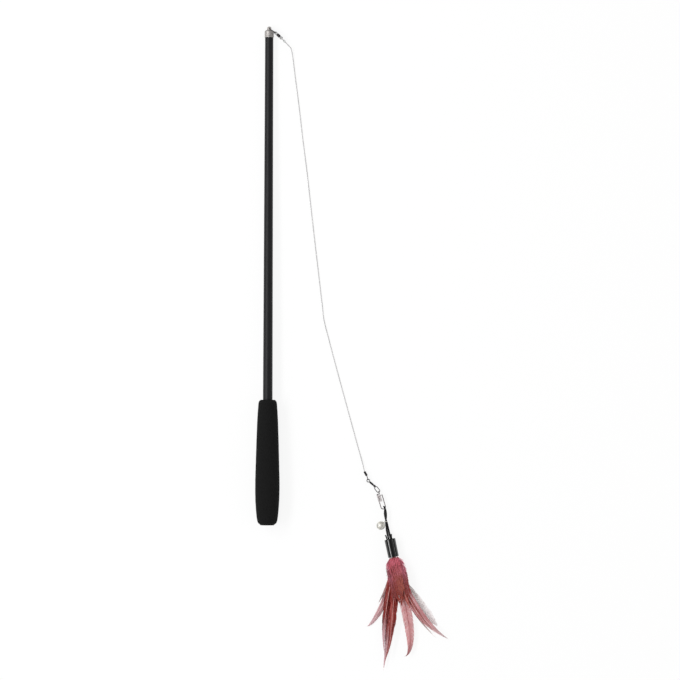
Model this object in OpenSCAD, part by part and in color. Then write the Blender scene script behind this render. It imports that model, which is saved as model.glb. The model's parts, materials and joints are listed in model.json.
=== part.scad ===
// Telescopic cat teaser wand, laid flat: foam grip, three nested rod sections, tip cap,
// line, two barrel swivels, a snap, and a lure of feathers with a jingle bell.
// The wand points along +Y, its tip end resting on the cap and its butt end on the foam.
// Z = 0 is the surface that it lies on.

/* [Rod] */
// Length of the butt section from the butt end to its mouth
rod_len = 389.4; // [360:0.1:430]
// Outside diameter of the butt section at its mouth
rod_mouth_d = 6.55; // [6.3:0.05:7.2]
// Wall of the butt section
rod_wall = 0.6; // [0.45:0.05:0.7]
// Gain in diameter for each millimetre towards the butt
rod_taper = 0.0038; // [0.0036:0.0001:0.0040]
// How far each inner section draws out before its taper locks
travel = 290; // [280:1:300]
// Wall of the middle section
middle_wall = 0.5; // [0.4:0.05:0.55]
// Wall of the tip section
tip_wall = 0.45; // [0.35:0.05:0.5]
// Diametral play that the tapers keep when drawn right out
slide_fit = 0.06; // [0.03:0.01:0.12]

/* [Grip] */
// Length of the foam grip
grip_len = 100; // [80:1:130]
// Largest diameter of the foam grip
grip_d = 19.5; // [17:0.5:24]
// Length of the plug inside the butt end
plug_len = 8; // [5:0.5:14]
// Thickness of the plug's end disc
plug_disc_h = 1; // [0.6:0.1:1.6]

/* [Tip cap] */
// Diameter of the metal cap on the tip section
cap_d = 7.4; // [7.2:0.1:8]
// Length of the cap under its knob
cap_len = 5.8; // [5:0.1:7]
// Length of the cap's chamfered shoulder
cap_shoulder_h = 1.1; // [1.1:0.05:1.6]
// Diameter of the knob on the cap
knob_d = 3.4; // [3:0.1:4]
// Height of the knob
knob_h = 2.9; // [2.6:0.1:3.4]
// Cross hole through the knob
knob_hole_d = 1.1; // [0.9:0.05:1.3]
// Depth of the tip section in the cap
cap_socket = 4; // [2.5:0.1:4.5]

/* [Tip ring] */
// Wire of the tip ring
ring_wire = 0.7; // [0.5:0.05:0.8]
// Distance between the two upright sides of the tip ring
ring_reach = 6; // [5.8:0.1:8]
// Half of the ring's height, to the middle of its wire
ring_half_h = 3; // [2.9:0.05:3.2]
// Corner radius of the ring, to the middle of its wire
ring_corner = 0.8; // [0.6:0.1:1]

/* [Swivels] */
// Outside diameter of an upper swivel eye
upper_eye_d = 2.4; // [2.3:0.05:2.6]
// Wire of the upper swivel's eyes
upper_eye_wire = 0.5; // [0.4:0.05:0.55]
// Diameter of the upper swivel's barrel
upper_barrel_d = 2.4; // [2.2:0.1:2.8]
// Length of the upper swivel's barrel
upper_barrel_len = 3.2; // [3:0.1:4]
// Outside diameter of the lower swivel's top eye
lower_eye_d = 2.9; // [2.8:0.05:3.2]
// Wire of the lower swivel's eyes
lower_eye_wire = 0.6; // [0.5:0.05:0.65]
// Diameter of the lower swivel's barrel
lower_barrel_d = 1.6; // [1.5:0.1:2]
// Length of the lower swivel's barrel
lower_barrel_len = 3.9; // [3.2:0.1:4.4]
// Diameter of the bead under the lower barrel
bead_d = 2; // [1.8:0.1:2.3]
// Width of the lower swivel's long eye
long_eye_w = 3.1; // [2.9:0.1:3.6]
// Length of the lower swivel's long eye
long_eye_len = 5.8; // [5.2:0.1:7]
// Running clearance of a swivel stem in its barrel, on the radius
stem_fit = 0.06; // [0.04:0.01:0.09]

/* [Line] */
// Diameter of the line
line_d = 0.8; // [0.6:0.05:0.9]
// Width of the clear sleeve that closes the line's upper loop
sleeve_w = 1.6; // [1.4:0.1:2]
// Length of the clear sleeve
sleeve_len = 2; // [1.6:0.1:3]
// Diameter of the crimp sleeve at the line's lower end
crimp_d = 1.8; // [1.6:0.1:2.2]
// Length of the crimp sleeve
crimp_len = 3.8; // [3:0.1:5]
// Wire of the hook loop below the crimp sleeve
hook_wire = 0.65; // [0.5:0.05:0.7]
// Reach of the hook loop from the crimp sleeve to its bend
hook_reach = 3.7; // [3.2:0.1:5]

/* [Snap] */
// Wire of the snap
snap_wire_d = 0.7; // [0.55:0.05:0.75]
// Width of the snap between the middles of its two arms
snap_w = 3.7; // [3.2:0.1:4.2]
// Length from the snap's ring to the middle of its bow wire
snap_len = 14.6; // [13:0.1:16]
// Outside diameter of the snap's own ring
snap_ring_d = 2.7; // [2.5:0.1:3]
// Length of the clasp plate
clasp_len = 5.6; // [5:0.1:6.5]
// Sheet thickness of the clasp plate
clasp_t = 0.3; // [0.2:0.05:0.35]

/* [Lure] */
// Diameter of the lure's black cord
cord_d = 1.4; // [1.1:0.05:1.45]
// Diameter of the cord's two cut ends at the ferrule
tail_d = 1.1; // [0.8:0.05:1.2]
// Length from the snap's wire to the ferrule
loop_len = 24.9; // [24:0.1:30]
// Diameter of the ferrule at the cord end
ferrule_top_d = 8.8; // [8.2:0.1:9.4]
// Diameter of the ferrule at the feather end
ferrule_mouth_d = 8.6; // [7.8:0.1:9]
// Length of the ferrule
ferrule_len = 14.4; // [12:0.1:17]
// Wall of the ferrule
ferrule_wall = 0.6; // [0.4:0.05:0.7]
// Diameter of the bell
bell_d = 6.9; // [6.6:0.1:7.2]
// Sheet thickness of the bell
bell_wall = 0.35; // [0.25:0.05:0.5]
// Diameter of the ball inside the bell
pea_d = 2; // [1.4:0.1:2.6]
// Reach of the longest feather along the lure, from the ferrule's mouth
plume_len = 88; // [70:1:120]
// Widest feather
plume_w = 12; // [9:0.5:14]
// Length of quill inside the ferrule
quill_len = 8; // [5:0.5:8.5]
// Width of a quill
quill_w = 0.7; // [0.5:0.05:0.8]
// Distance between the layers of feathers in the ferrule
layer_mouth = 0.31; // [0.26:0.01:0.32]
// Distance between the layers of feathers where they lie spread
layer_spread = 0.5; // [0.36:0.02:0.6]

/* [Place] */
// Where the wand's axis stands left of the origin, and its butt end below it
wand_at = [-68, -141]; // [-300:1:300]

/* [Hidden] */

$fn = 64;
wire_sides = 40;
// One overrun for every cut that must run past a face
over = 0.5;
// Gap between two pieces that touch and part again
seat = 0.1;
// Gap between the ends of the nested sections
end_gap = 0.3;

// The rod, measured along its axis from the butt end
function rod_od(s) = rod_mouth_d + rod_taper * (rod_len - s);
function rod_id(s) = rod_od(s) - 2 * rod_wall;
// Each inner section is the bore above it, less the taper that it travels through
locked_step = rod_taper * travel + slide_fit;
function middle_od(s) = rod_id(s) - locked_step;
function middle_id(s) = middle_od(s) - 2 * middle_wall;
function tip_od(s) = middle_id(s) - locked_step;
function tip_id(s) = tip_od(s) - 2 * tip_wall;
plug_top = plug_disc_h + plug_len;
middle_from = plug_top + end_gap;
middle_to = rod_len - end_gap;
tip_from = middle_from + end_gap;
cap_from = rod_len + seat / 2;
tip_to = cap_from + cap_socket;
knob_from = cap_from + cap_len;
hole_share = 0.38;
hole_s = knob_from + hole_share * knob_h;

// Outline of the foam grip: share of its length, share of its largest diameter
grip_shares = [[0, 0.54], [0.008, 0.63], [0.016, 0.73], [0.024, 0.78], [0.04, 0.83],
    [0.056, 0.857], [0.08, 0.887], [0.12, 0.928], [0.2, 0.98], [0.28, 1], [0.36, 0.995],
    [0.52, 0.954], [0.68, 0.908], [0.84, 0.849], [0.92, 0.8], [0.968, 0.76], [0.984, 0.73],
    [0.994, 0.66], [1, 0.56]];
// Outline of the cap under its shoulder: share of its length, share of its diameter
cap_shares = [[0, 0.97], [0.04, 1], [0.2, 1], [0.24, 0.965], [0.28, 0.965], [0.32, 0.99]];
// Flat top of the cap round its knob, as a share of the cap's diameter
cap_rim_share = 0.75;
// Outline of the knob: share of its height, share of its diameter
knob_shares = [[0.55, 1], [0.74, 0.94], [0.88, 0.78], [0.97, 0.48], [1, 0.2]];

// The wand tilts until the foam and the cap both touch the surface
cap_rest_s = cap_from + cap_len - cap_shoulder_h;
cap_rest_r = cap_shares[5][1] * cap_d / 2;
tilt = max([for (p = grip_shares)
    atan((p[1] * grip_d / 2 - cap_rest_r) / (cap_rest_s - p[0] * grip_len))]);
axis_h = cap_rest_s * sin(tilt) + cap_rest_r * cos(tilt);
function wand_point(s) = [wand_at.x, wand_at.y + s * cos(tilt), axis_h - s * sin(tilt)];

// Headings in the plane of the surface, counted from +X towards +Y
ring_heading = -32;
upper_heading = -42;
top_loop_heading = -46;
crimp_heading = -60;
hook_heading = -73;
lower_heading = -40.5;
long_eye_heading = -52;
snap_heading = -73.5;
lure_heading = -77.8;
function along(heading) = [cos(heading), sin(heading), 0];

// The cord's bend round the snap's wire, and the height that lets the cord pass under it
bend_r = cord_d / 2 + snap_wire_d + seat;
chain_h = bend_r + cord_d / 2 + seat / 2;

// Upper chain, from the knob's hole outwards
hole_at = wand_point(hole_s);
ring_bar_at = hole_at + ring_reach * along(ring_heading);
upper_eye_mid = (upper_eye_d - upper_eye_wire) / 2;
upper_eye_in = upper_eye_mid - upper_eye_wire / 2;
upper_eye_at = ring_bar_at + (upper_eye_in - ring_wire / 2 - seat) * along(upper_heading);
upper_pitch = upper_eye_d / 2 * 2 + upper_barrel_len + 2 * seat;
upper_low_eye_at = upper_eye_at + upper_pitch * along(upper_heading);
top_loop_at = upper_low_eye_at + (upper_eye_in - line_d / 2 - seat) * along(top_loop_heading);
top_loop_mid = (line_d + upper_eye_wire) / 2 + seat;
top_loop_reach = 2.4 * line_d;
sleeve_at = top_loop_at + (top_loop_reach + top_loop_mid - line_d / 2) * along(top_loop_heading);
sleeve_end = sleeve_at + sleeve_len * along(top_loop_heading);

// The line's route between its sleeve and its crimp, chosen by hand on the surface
line_points = [[-53.5, 243.1, 3.2], [-52.0, 241.5, 2.8], [-50.6, 240.0, 2.3],
    [-49.8, 236.8, 1.6], [-49.0, 232.0, 1.0], [-48.0, 224.0, 0.6], [-47.1, 217.0, 0.5], [-43.8, 192.0, 0.5],
    [-40.7, 166.0, 0.5], [-37.4, 141.0, 0.5], [-34.2, 113.0, 0.5], [-30.7, 83.2, 0.5],
    [-27.6, 57.5, 0.5], [-25.3, 38.4, 0.5], [-24.5, 32.0, 0.5], [-23.9, 25.7, 0.5],
    [-22.6, 19.2, 0.5], [-20.9, 12.8, 0.5], [-17.5, 0.0, 0.5], [-8.8, -31.9, 0.5],
    [0.1, -63.9, 0.5], [5.0, -81.5, 0.6], [7.3, -89.4, 1.1], [8.9, -95.8, 1.75]];
line_end = [9.4, -98.2];
line_ring_pitch = 6.6;

// Lower chain, from the line's end outwards
crimp_at = [line_end.x, line_end.y, chain_h];
crimp_end = crimp_at + crimp_len * along(crimp_heading);
hook_bar_at = crimp_end + hook_reach * along(hook_heading);
lower_eye_mid = (lower_eye_d - lower_eye_wire) / 2;
lower_eye_in = lower_eye_mid - lower_eye_wire / 2;
lower_eye_at = hook_bar_at + (lower_eye_in - hook_wire / 2 - seat) * along(hook_heading);
lower_barrel_from = lower_eye_d / 2 + seat;
bead_from = lower_barrel_from + lower_barrel_len + seat;
bead_at = lower_eye_at + (bead_from + bead_d / 2) * along(lower_heading);
long_eye_mid = (long_eye_w - lower_eye_wire) / 2;
long_eye_straight = long_eye_len - long_eye_w;
long_eye_from = bead_d / 2 + long_eye_mid;
long_eye_far = long_eye_from + long_eye_straight + long_eye_mid;
snap_at = bead_at + (long_eye_far - lower_eye_wire / 2 - seat - snap_wire_d / 2)
    * along(long_eye_heading);
snap_ring_mid = (snap_ring_d - snap_wire_d) / 2;
arm_from = 2 * snap_ring_mid;
bow_mid = snap_w / 2;
bow_at = snap_len - bow_mid;
gate_back = snap_wire_d / 2 + seat;
gate_pivot_at = snap_at + (bow_at - gate_back) * along(snap_heading)
    + bow_mid * along(snap_heading + 90);

// Lure: its cord hangs on the bow a little to one side, and its frame lies in the
// ferrule's axis, beside the point where the cord turns round the wire
bow_turn = 32;
bend_side = 0.9 * cord_d;
bend_twist = 15;
bend_at = snap_at + bow_at * along(snap_heading) + bow_mid * along(snap_heading + bow_turn);
lure_at = bend_at - bend_side * along(lure_heading + 90);
ferrule_from = loop_len;
ferrule_to = ferrule_from + ferrule_len;
ferrule_h = ferrule_top_d / 2;
bell_r = bell_d / 2;

module on_wand() {
    translate(wand_point(0)) rotate([-(90 + tilt), 0, 0]) children();
}

module on_chain(at, heading) {
    translate(at) rotate([0, 0, heading]) children();
}

// A cone along the rod's axis whose diameter follows one of the rod's functions
module rod_cone(from, to, d_from, d_to) {
    translate([0, 0, from]) cylinder(d1 = d_from, d2 = d_to, h = to - from);
}

// A quarter, half or whole ring of round wire, flat in the XY plane
module wire_arc(mid_r, wire, turn) {
    rotate_extrude(angle = turn) translate([mid_r, 0]) circle(d = wire, $fn = wire_sides);
}

// A flat long loop of wire from the middle of its near end to the middle of its far end
module long_loop(straight, mid_r, wire) {
    rotate([0, 0, 90]) wire_arc(mid_r, wire, 180);
    translate([straight, 0, 0]) rotate([0, 0, -90]) wire_arc(mid_r, wire, 180);
    for (side = [-1, 1])
        translate([0, side * mid_r, 0]) rotate([0, 90, 0])
            cylinder(d = wire, h = straight, $fn = wire_sides);
}

// A straight stretch of wire along +X
module wire_run(from, to, wire) {
    translate([from, 0, 0]) rotate([0, 90, 0])
        cylinder(d = wire, h = to - from, $fn = wire_sides);
}

// A revolved outline along +X: pairs of place along the axis and radius
module turned(outline) {
    rotate([0, 90, 0]) rotate_extrude() polygon([for (p = outline) [p[1], p[0]]]);
}

// Grip and rod

module foam_grip() {
    color("#17171a")
    on_wand() difference() {
        rotate_extrude() polygon(concat([[0, 0]],
            [for (p = grip_shares) [p[1] * grip_d / 2, p[0] * grip_len]], [[0, grip_len]]));
        rod_cone(-over, grip_len + over, rod_od(-over), rod_od(grip_len + over));
    }
}

module butt_plug() {
    color("#101012")
    on_wand() {
        rod_cone(0, plug_disc_h, rod_od(0), rod_od(plug_disc_h));
        rod_cone(plug_disc_h, plug_top, rod_id(plug_disc_h), rod_id(plug_top));
    }
}

module butt_section() {
    color("#232326")
    on_wand() difference() {
        rod_cone(plug_disc_h, rod_len, rod_od(plug_disc_h), rod_od(rod_len));
        rod_cone(plug_disc_h - over, rod_len + over,
            rod_id(plug_disc_h - over), rod_id(rod_len + over));
    }
}

module middle_section() {
    color("#2c2c30")
    on_wand() difference() {
        rod_cone(middle_from, middle_to, middle_od(middle_from), middle_od(middle_to));
        rod_cone(middle_from - over, middle_to + over,
            middle_id(middle_from - over), middle_id(middle_to + over));
    }
}

module tip_section() {
    color("#35353a")
    on_wand() difference() {
        rod_cone(tip_from, tip_to, tip_od(tip_from), tip_od(tip_to));
        rod_cone(tip_from - over, tip_to + over, tip_id(tip_from - over), tip_id(tip_to + over));
    }
}

module tip_cap() {
    shoulder_from = cap_len - cap_shoulder_h;
    outline = concat([[0, 0]],
        [for (p = cap_shares) [p[1] * cap_d / 2, p[0] * cap_len]],
        [[cap_rest_r, shoulder_from], [cap_rim_share * cap_d / 2, cap_len], [knob_d / 2, cap_len]],
        [for (p = knob_shares) [p[1] * knob_d / 2, cap_len + p[0] * knob_h]],
        [[0, cap_len + knob_h]]);
    color("#b4b4b6")
    on_wand() difference() {
        translate([0, 0, cap_from]) rotate_extrude() polygon(outline);
        rod_cone(cap_from - over, tip_to, tip_od(cap_from - over), tip_od(tip_to));
        translate([0, 0, hole_s]) rotate([90, 0, 0])
            cylinder(d = knob_hole_d, h = 2 * knob_d, center = true);
    }
}

// Tip ring and upper swivel

module tip_ring() {
    straight_h = 2 * (ring_half_h - ring_corner);
    color("#c6c6c9")
    on_chain(hole_at, ring_heading) rotate([90, 0, 0]) {
        for (x = [0, ring_reach])
            translate([x, -straight_h / 2, 0]) rotate([-90, 0, 0])
                cylinder(d = ring_wire, h = straight_h, $fn = wire_sides);
        for (side = [-1, 1])
            translate([0, side * ring_half_h, 0])
                wire_run(ring_corner, ring_reach - ring_corner, ring_wire);
        for (turn = [[0, 1, 90], [0, -1, 180], [1, -1, 270], [1, 1, 0]])
            translate([turn[0] == 0 ? ring_corner : ring_reach - ring_corner,
                turn[1] * straight_h / 2, 0])
                rotate([0, 0, turn[2]]) wire_arc(ring_corner, ring_wire, 90);
    }
}

// A flat round eye with a headed stem through the end wall of a barrel; fit is the play
// between the head and the wall
module swivel_eye(eye_d, wire, stem_d, head_d, barrel_from, wall, fit) {
    mid_r = (eye_d - wire) / 2;
    head_from = barrel_from + wall + fit;
    wire_arc(mid_r, wire, 360);
    wire_run(mid_r, head_from, stem_d);
    wire_run(head_from, head_from + stem_d, head_d);
}

// A hollow barrel with rounded ends: the first end grips its stem, the second lets it turn
module swivel_barrel(from, length, d, stem_d, head_d, wall) {
    round_r = d / 6;
    grip_r = stem_d / 2;
    turn_r = grip_r + stem_fit;
    room_r = head_d / 2 + stem_fit;
    turned([[from, grip_r], [from, d / 2 - round_r], [from + round_r, d / 2],
        [from + length - round_r, d / 2], [from + length, d / 2 - round_r],
        [from + length, turn_r], [from + length - wall, turn_r],
        [from + length - wall, room_r], [from + wall, room_r], [from + wall, grip_r]]);
}

upper_stem_d = upper_eye_wire;
upper_head_d = 2.4 * upper_eye_wire;
upper_barrel_wall = 0.8 * upper_eye_wire;
upper_barrel_from = upper_eye_d / 2 + seat;
lower_stem_d = 0.8 * lower_eye_wire;
lower_head_d = 1.6 * lower_eye_wire;
lower_barrel_wall = 0.7 * lower_eye_wire;

module upper_swivel_top_eye() {
    color("#57575b")
    on_chain(upper_eye_at, upper_heading)
        swivel_eye(upper_eye_d, upper_eye_wire, upper_stem_d, upper_head_d,
            upper_barrel_from, upper_barrel_wall, 0);
}

module upper_swivel_barrel() {
    color("#8d8d91")
    on_chain(upper_eye_at, upper_heading)
        swivel_barrel(upper_barrel_from, upper_barrel_len, upper_barrel_d,
            upper_stem_d, upper_head_d, upper_barrel_wall);
}

module upper_swivel_bottom_eye() {
    color("#77777b")
    on_chain(upper_low_eye_at, upper_heading + 180)
        swivel_eye(upper_eye_d, upper_eye_wire, upper_stem_d, upper_head_d,
            upper_barrel_from, upper_barrel_wall, stem_fit);
}

// Line

function unit(v) = v / norm(v);

// Smooth curve through points: Hermite pieces with slopes weighted by distance
function slope(p, i) =
    i == 0 ? unit(p[1] - p[0])
    : i == len(p) - 1 ? unit(p[i] - p[i - 1])
    : let (before = norm(p[i] - p[i - 1]), after = norm(p[i + 1] - p[i]))
        ((p[i + 1] - p[i]) * before / after + (p[i] - p[i - 1]) * after / before)
            / (before + after);
function blend_point(a, b, u, v, t) =
    (2 * t ^ 3 - 3 * t ^ 2 + 1) * a + (t ^ 3 - 2 * t ^ 2 + t) * u
    + (3 * t ^ 2 - 2 * t ^ 3) * b + (t ^ 3 - t ^ 2) * v;
function smooth(p, pitch) = [
    for (i = [0:len(p) - 2])
        let (gap = norm(p[i + 1] - p[i]), n = max(1, round(gap / pitch)))
        for (k = [0:n - 1])
            blend_point(p[i], p[i + 1], gap * slope(p, i), gap * slope(p, i + 1), k / n),
    p[len(p) - 1]];

// A round tube along a path; guide is a direction that the path never takes
module tube(path, d, guide, sides = 8) {
    n = len(path);
    rings = [for (i = [0:n - 1])
        let (t = unit(path[min(i + 1, n - 1)] - path[max(i - 1, 0)]),
            a = unit(guide - (guide * t) * t),
            b = cross(t, a))
        for (k = [0:sides - 1])
            let (turn = 360 * (k + 0.5) / sides)
            path[i] + d / 2 * (cos(turn) * a + sin(turn) * b)];
    walls = [for (i = [0:n - 2]) for (k = [0:sides - 1])
        let (a = i * sides + k, b = i * sides + (k + 1) % sides)
        for (face = [[a, a + sides, b + sides], [a, b + sides, b]]) face];
    ends = [[for (k = [0:sides - 1]) k], [for (k = [0:sides - 1]) n * sides - 1 - k]];
    polyhedron(rings, concat(walls, ends));
}

// It stops a little short of the crimp's end face, because it comes in at a slant
line_route = concat([sleeve_end], line_points, [crimp_at - line_d / 6 * along(crimp_heading)]);

module line() {
    color("#b9bcbb")
    tube(smooth(line_route, line_ring_pitch), line_d, [0, 0, 1]);
}

module line_top_loop() {
    color("#b9bcbb")
    on_chain(top_loop_at, top_loop_heading) rotate([90, 0, 0])
        translate([top_loop_mid - line_d / 2, 0, 0]) {
            rotate([0, 0, 90]) wire_arc(top_loop_mid, line_d, 180);
            for (side = [-1, 1])
                translate([0, side * top_loop_mid, 0]) wire_run(0, top_loop_reach, line_d);
        }
}

module line_sleeve() {
    color("#a5a8a7")
    on_chain(sleeve_at, top_loop_heading) {
        for (side = [-1, 1])
            translate([0, 0, side * (top_loop_mid + line_d / 2 - sleeve_w / 2)])
                wire_run(0, sleeve_len, sleeve_w);
        translate([0, -sleeve_w / 2, sleeve_w / 2 - top_loop_mid - line_d / 2])
            cube([sleeve_len, sleeve_w, 2 * top_loop_mid + line_d - sleeve_w]);
    }
}

module crimp_sleeve() {
    color("#3c3c40")
    on_chain(crimp_at, crimp_heading)
        turned([[0, 0], [0, 0.4 * crimp_d], [0.08 * crimp_len, crimp_d / 2],
            [0.92 * crimp_len, crimp_d / 2], [crimp_len, 0.4 * crimp_d], [crimp_len, 0]]);
}

hook_mid = (hook_wire + lower_eye_wire) / 2 + seat;

module hook_loop() {
    color("#4a4a4e")
    on_chain(crimp_end, hook_heading) rotate([90, 0, 0])
        translate([hook_reach - hook_mid, 0, 0]) {
            rotate([0, 0, -90]) wire_arc(hook_mid, hook_wire, 180);
            for (side = [-1, 1])
                translate([0, side * hook_mid, 0])
                    wire_run(-(hook_reach - hook_mid), 0, hook_wire);
        }
}

// Lower swivel

module lower_swivel_top_eye() {
    color("#8b8b8f")
    on_chain(lower_eye_at, lower_heading)
        swivel_eye(lower_eye_d, lower_eye_wire, lower_stem_d, lower_head_d,
            lower_barrel_from, lower_barrel_wall, 0);
}

module lower_swivel_barrel() {
    color("#77777a")
    on_chain(lower_eye_at, lower_heading)
        swivel_barrel(lower_barrel_from, lower_barrel_len, lower_barrel_d,
            lower_stem_d, lower_head_d, lower_barrel_wall);
}

module lower_swivel_long_eye() {
    head_from = bead_d / 2 + seat + lower_barrel_wall + stem_fit;
    color("#6a6a6e")
    translate(bead_at) {
        sphere(d = bead_d);
        rotate([0, 0, lower_heading + 180]) {
            wire_run(0, head_from, lower_stem_d);
            wire_run(head_from, head_from + lower_stem_d, lower_head_d);
        }
        rotate([0, 0, long_eye_heading]) translate([long_eye_from, 0, 0])
            long_loop(long_eye_straight, long_eye_mid, lower_eye_wire);
    }
}

// Snap

module snap_wire() {
    color("#c2c2c4")
    on_chain(snap_at, snap_heading) {
        translate([snap_ring_mid, 0, 0]) rotate([90, 0, 0])
            wire_arc(snap_ring_mid, snap_wire_d, 360);
        translate([arm_from, -bow_mid, 0]) rotate([-90, 0, 0])
            cylinder(d = snap_wire_d, h = bow_mid, $fn = wire_sides);
        translate([arm_from, -bow_mid, 0]) sphere(d = snap_wire_d, $fn = wire_sides);
        translate([0, -bow_mid, 0]) wire_run(arm_from, bow_at, snap_wire_d);
        translate([bow_at, 0, 0]) rotate([0, 0, -90]) wire_arc(bow_mid, snap_wire_d, 180);
    }
}

clasp_room = snap_wire_d / 2;
clasp_from = arm_from + snap_wire_d;
clasp_back = bow_mid + snap_wire_d / 2;
clasp_edge = snap_w / 6;

// A sheet folded round the fixed arm, open towards the gate, with a window in its top
module snap_clasp() {
    full_w = clasp_back + clasp_edge + clasp_t;
    window_w = 0.3 * snap_w;
    color("#d4d4d6")
    on_chain(snap_at, snap_heading) difference() {
        translate([clasp_from, -clasp_back - clasp_t, -clasp_room - clasp_t])
            cube([clasp_len, full_w, 2 * (clasp_room + clasp_t)]);
        translate([clasp_from - over, -clasp_back, -clasp_room])
            cube([clasp_len + 2 * over, full_w, 2 * clasp_room]);
        translate([clasp_from + 0.2 * clasp_len, -bow_mid + clasp_t, clasp_room - over])
            cube([0.6 * clasp_len, window_w, clasp_t + 2 * over]);
    }
}

// The free arm, drawn from the point that it turns about
module snap_gate() {
    reach = bow_at - gate_back - clasp_from - 0.14 * clasp_len;
    hook_d = 0.75 * snap_wire_d;
    color("#cbcbcd")
    on_chain(gate_pivot_at, snap_heading) {
        sphere(d = snap_wire_d, $fn = wire_sides);
        wire_run(-reach, 0, snap_wire_d);
        translate([-reach, 0, 0]) sphere(d = snap_wire_d, $fn = wire_sides);
        translate([-reach, 0, 0]) rotate([90, 0, 0])
            cylinder(d = hook_d, h = 0.6 * snap_w, $fn = wire_sides);
    }
}

// Lure: +X runs down the lure, +Y towards the long right-hand feathers, Z up from the surface

module on_lure() {
    translate([lure_at.x, lure_at.y, 0]) rotate([0, 0, lure_heading]) children();
}

// Where the cord's two strands and two cut ends stand on the plug, across and above
// the ferrule's axis, as shares of their own diameters
strand_shares = [[-0.62, 0.25], [0.62, -0.25]];
end_shares = [[-2.07, -0.75], [1.45, 1.15]];
strand_end = ferrule_from + 0.36 * ferrule_len;
plug_from = ferrule_from + cord_d / 2;
function strand_mouth(i, x) = [x, strand_shares[i][0] * cord_d,
    ferrule_h + strand_shares[i][1] * cord_d];
// The upper strand from the bend down to the ferrule, and the lower one from it
upper_points = [[3.5, 1.45, 3.4], [6.5, 0.95, 3.42], [9, 0.2, 3.45], [10.6, -0.2, 3.45],
    [12, -0.4, 3.45], [14.5, -0.65, 3.5], [17.5, -0.95, 3.95], [20, -1.0, 4.4]];
lower_points = [[2.5, 0.65, 0.77], [4.5, 0.15, 0.8], [7, 0.05, 0.88], [9, 0.15, 1.0],
    [10.6, 0.35, 1.15], [12, 0.5, 1.35], [14.5, 0.55, 1.9], [17.5, 0.55, 2.7], [20, 0.6, 3.4]];
function bend_point(turn) = [-bend_r * cos(turn) * cos(bend_twist),
    bend_side - bend_r * cos(turn) * sin(bend_twist), chain_h + bend_r * sin(turn)];
function reversed(list) = [for (i = [len(list) - 1:-1:0]) list[i]];
function strand_tail(i) = [strand_mouth(i, ferrule_from), strand_mouth(i, strand_end)];
cord_path = concat(reversed(strand_tail(0)), reversed(upper_points),
    [for (turn = [90:-30:-90]) bend_point(turn)], lower_points, strand_tail(1));
cord_ring_pitch = 2.6 * cord_d;

module lure_cord() {
    color("#161618")
    on_lure() tube(smooth(cord_path, cord_ring_pitch), cord_d, [0, 1, 0]);
}

module cord_ends() {
    color("#161618")
    on_lure() for (share = end_shares) {
        root = [plug_from, share[0] * tail_d, ferrule_h + share[1] * tail_d];
        lean = sign(share[0]) * tail_d;
        tube([root, root + [-tail_d, 0, 0], root + [-2.4 * tail_d, 0.1 * lean, 0],
            root + [-4.2 * tail_d, 0.4 * lean, 0]], tail_d, [0, 0, 1]);
    }
}

function ferrule_od(x) = ferrule_top_d
    + (ferrule_mouth_d - ferrule_top_d) * (x - ferrule_from) / ferrule_len;

module ferrule_cone(from, to, inset) {
    translate([from, 0, ferrule_h]) rotate([0, 90, 0])
        cylinder(d1 = ferrule_od(from) - 2 * inset, d2 = ferrule_od(to) - 2 * inset,
            h = to - from);
}

module ferrule() {
    color("#0d0d0f")
    on_lure() difference() {
        ferrule_cone(ferrule_from, ferrule_to, 0);
        ferrule_cone(ferrule_from - over, ferrule_to + over, ferrule_wall);
    }
}

module ferrule_plug() {
    slot_h = layer_mouth * layer_count + seat;
    color("#2a2422")
    on_lure() difference() {
        ferrule_cone(plug_from, ferrule_to - quill_w, ferrule_wall);
        for (i = [0, 1])
            translate(strand_mouth(i, plug_from - over)) rotate([0, 90, 0])
                cylinder(d = cord_d + seat, h = strand_end - plug_from + over);
        translate([ferrule_to - quill_len, -quill_w / 2 - seat, ferrule_h - slot_h / 2])
            cube([quill_len, quill_w + 2 * seat, slot_h]);
    }
}

// Bell: it hangs beside the upper strand on a wire eye that stands square to the strand
bell_eye_at = upper_points[3];
bell_eye_mid = 0.9 * cord_d;
bell_wire = 0.3 * cord_d;
bell_at = [bell_eye_at.x + 0.32 * bell_d, bell_eye_at.y - 0.66 * bell_d, bell_r];
strand_turn = atan2(upper_points[4].y - upper_points[2].y, upper_points[4].x - upper_points[2].x);
eye_foot = [bell_eye_at.x, bell_eye_at.y, bell_r]
    - bell_eye_mid * [-sin(strand_turn), cos(strand_turn), 0];
neck_len = norm(eye_foot - bell_at) - bell_r;
bell_turn = atan2(eye_foot.y - bell_at.y, eye_foot.x - bell_at.x);

// +Z of the bell runs from its mouth to its shank
module on_bell() {
    on_lure() translate(bell_at) rotate([0, 90, bell_turn]) children();
}

module bell_shank() {
    foot_h = bell_wire / 2;
    color("#b9b5a6") {
        on_lure() translate([bell_eye_at.x, bell_eye_at.y, bell_r])
            rotate([0, 90, strand_turn]) wire_arc(bell_eye_mid, bell_wire, 360);
        on_bell() difference() {
            union() {
                cylinder(d = 1.2 * bell_wire, h = bell_r + neck_len);
                cylinder(d = 4 * bell_wire, h = bell_r + foot_h);
            }
            sphere(d = bell_d);
        }
    }
}

module bell_top_shell() {
    color("#cfcabb")
    on_bell() {
        difference() {
            sphere(d = bell_d);
            sphere(d = bell_d - 2 * bell_wall);
            translate([0, 0, -bell_d / 2])
                cube([bell_d + over, bell_d + over, bell_d], center = true);
        }
    }
}

slot_polar = 74;
slot_w = 2 * bell_wall;

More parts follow.
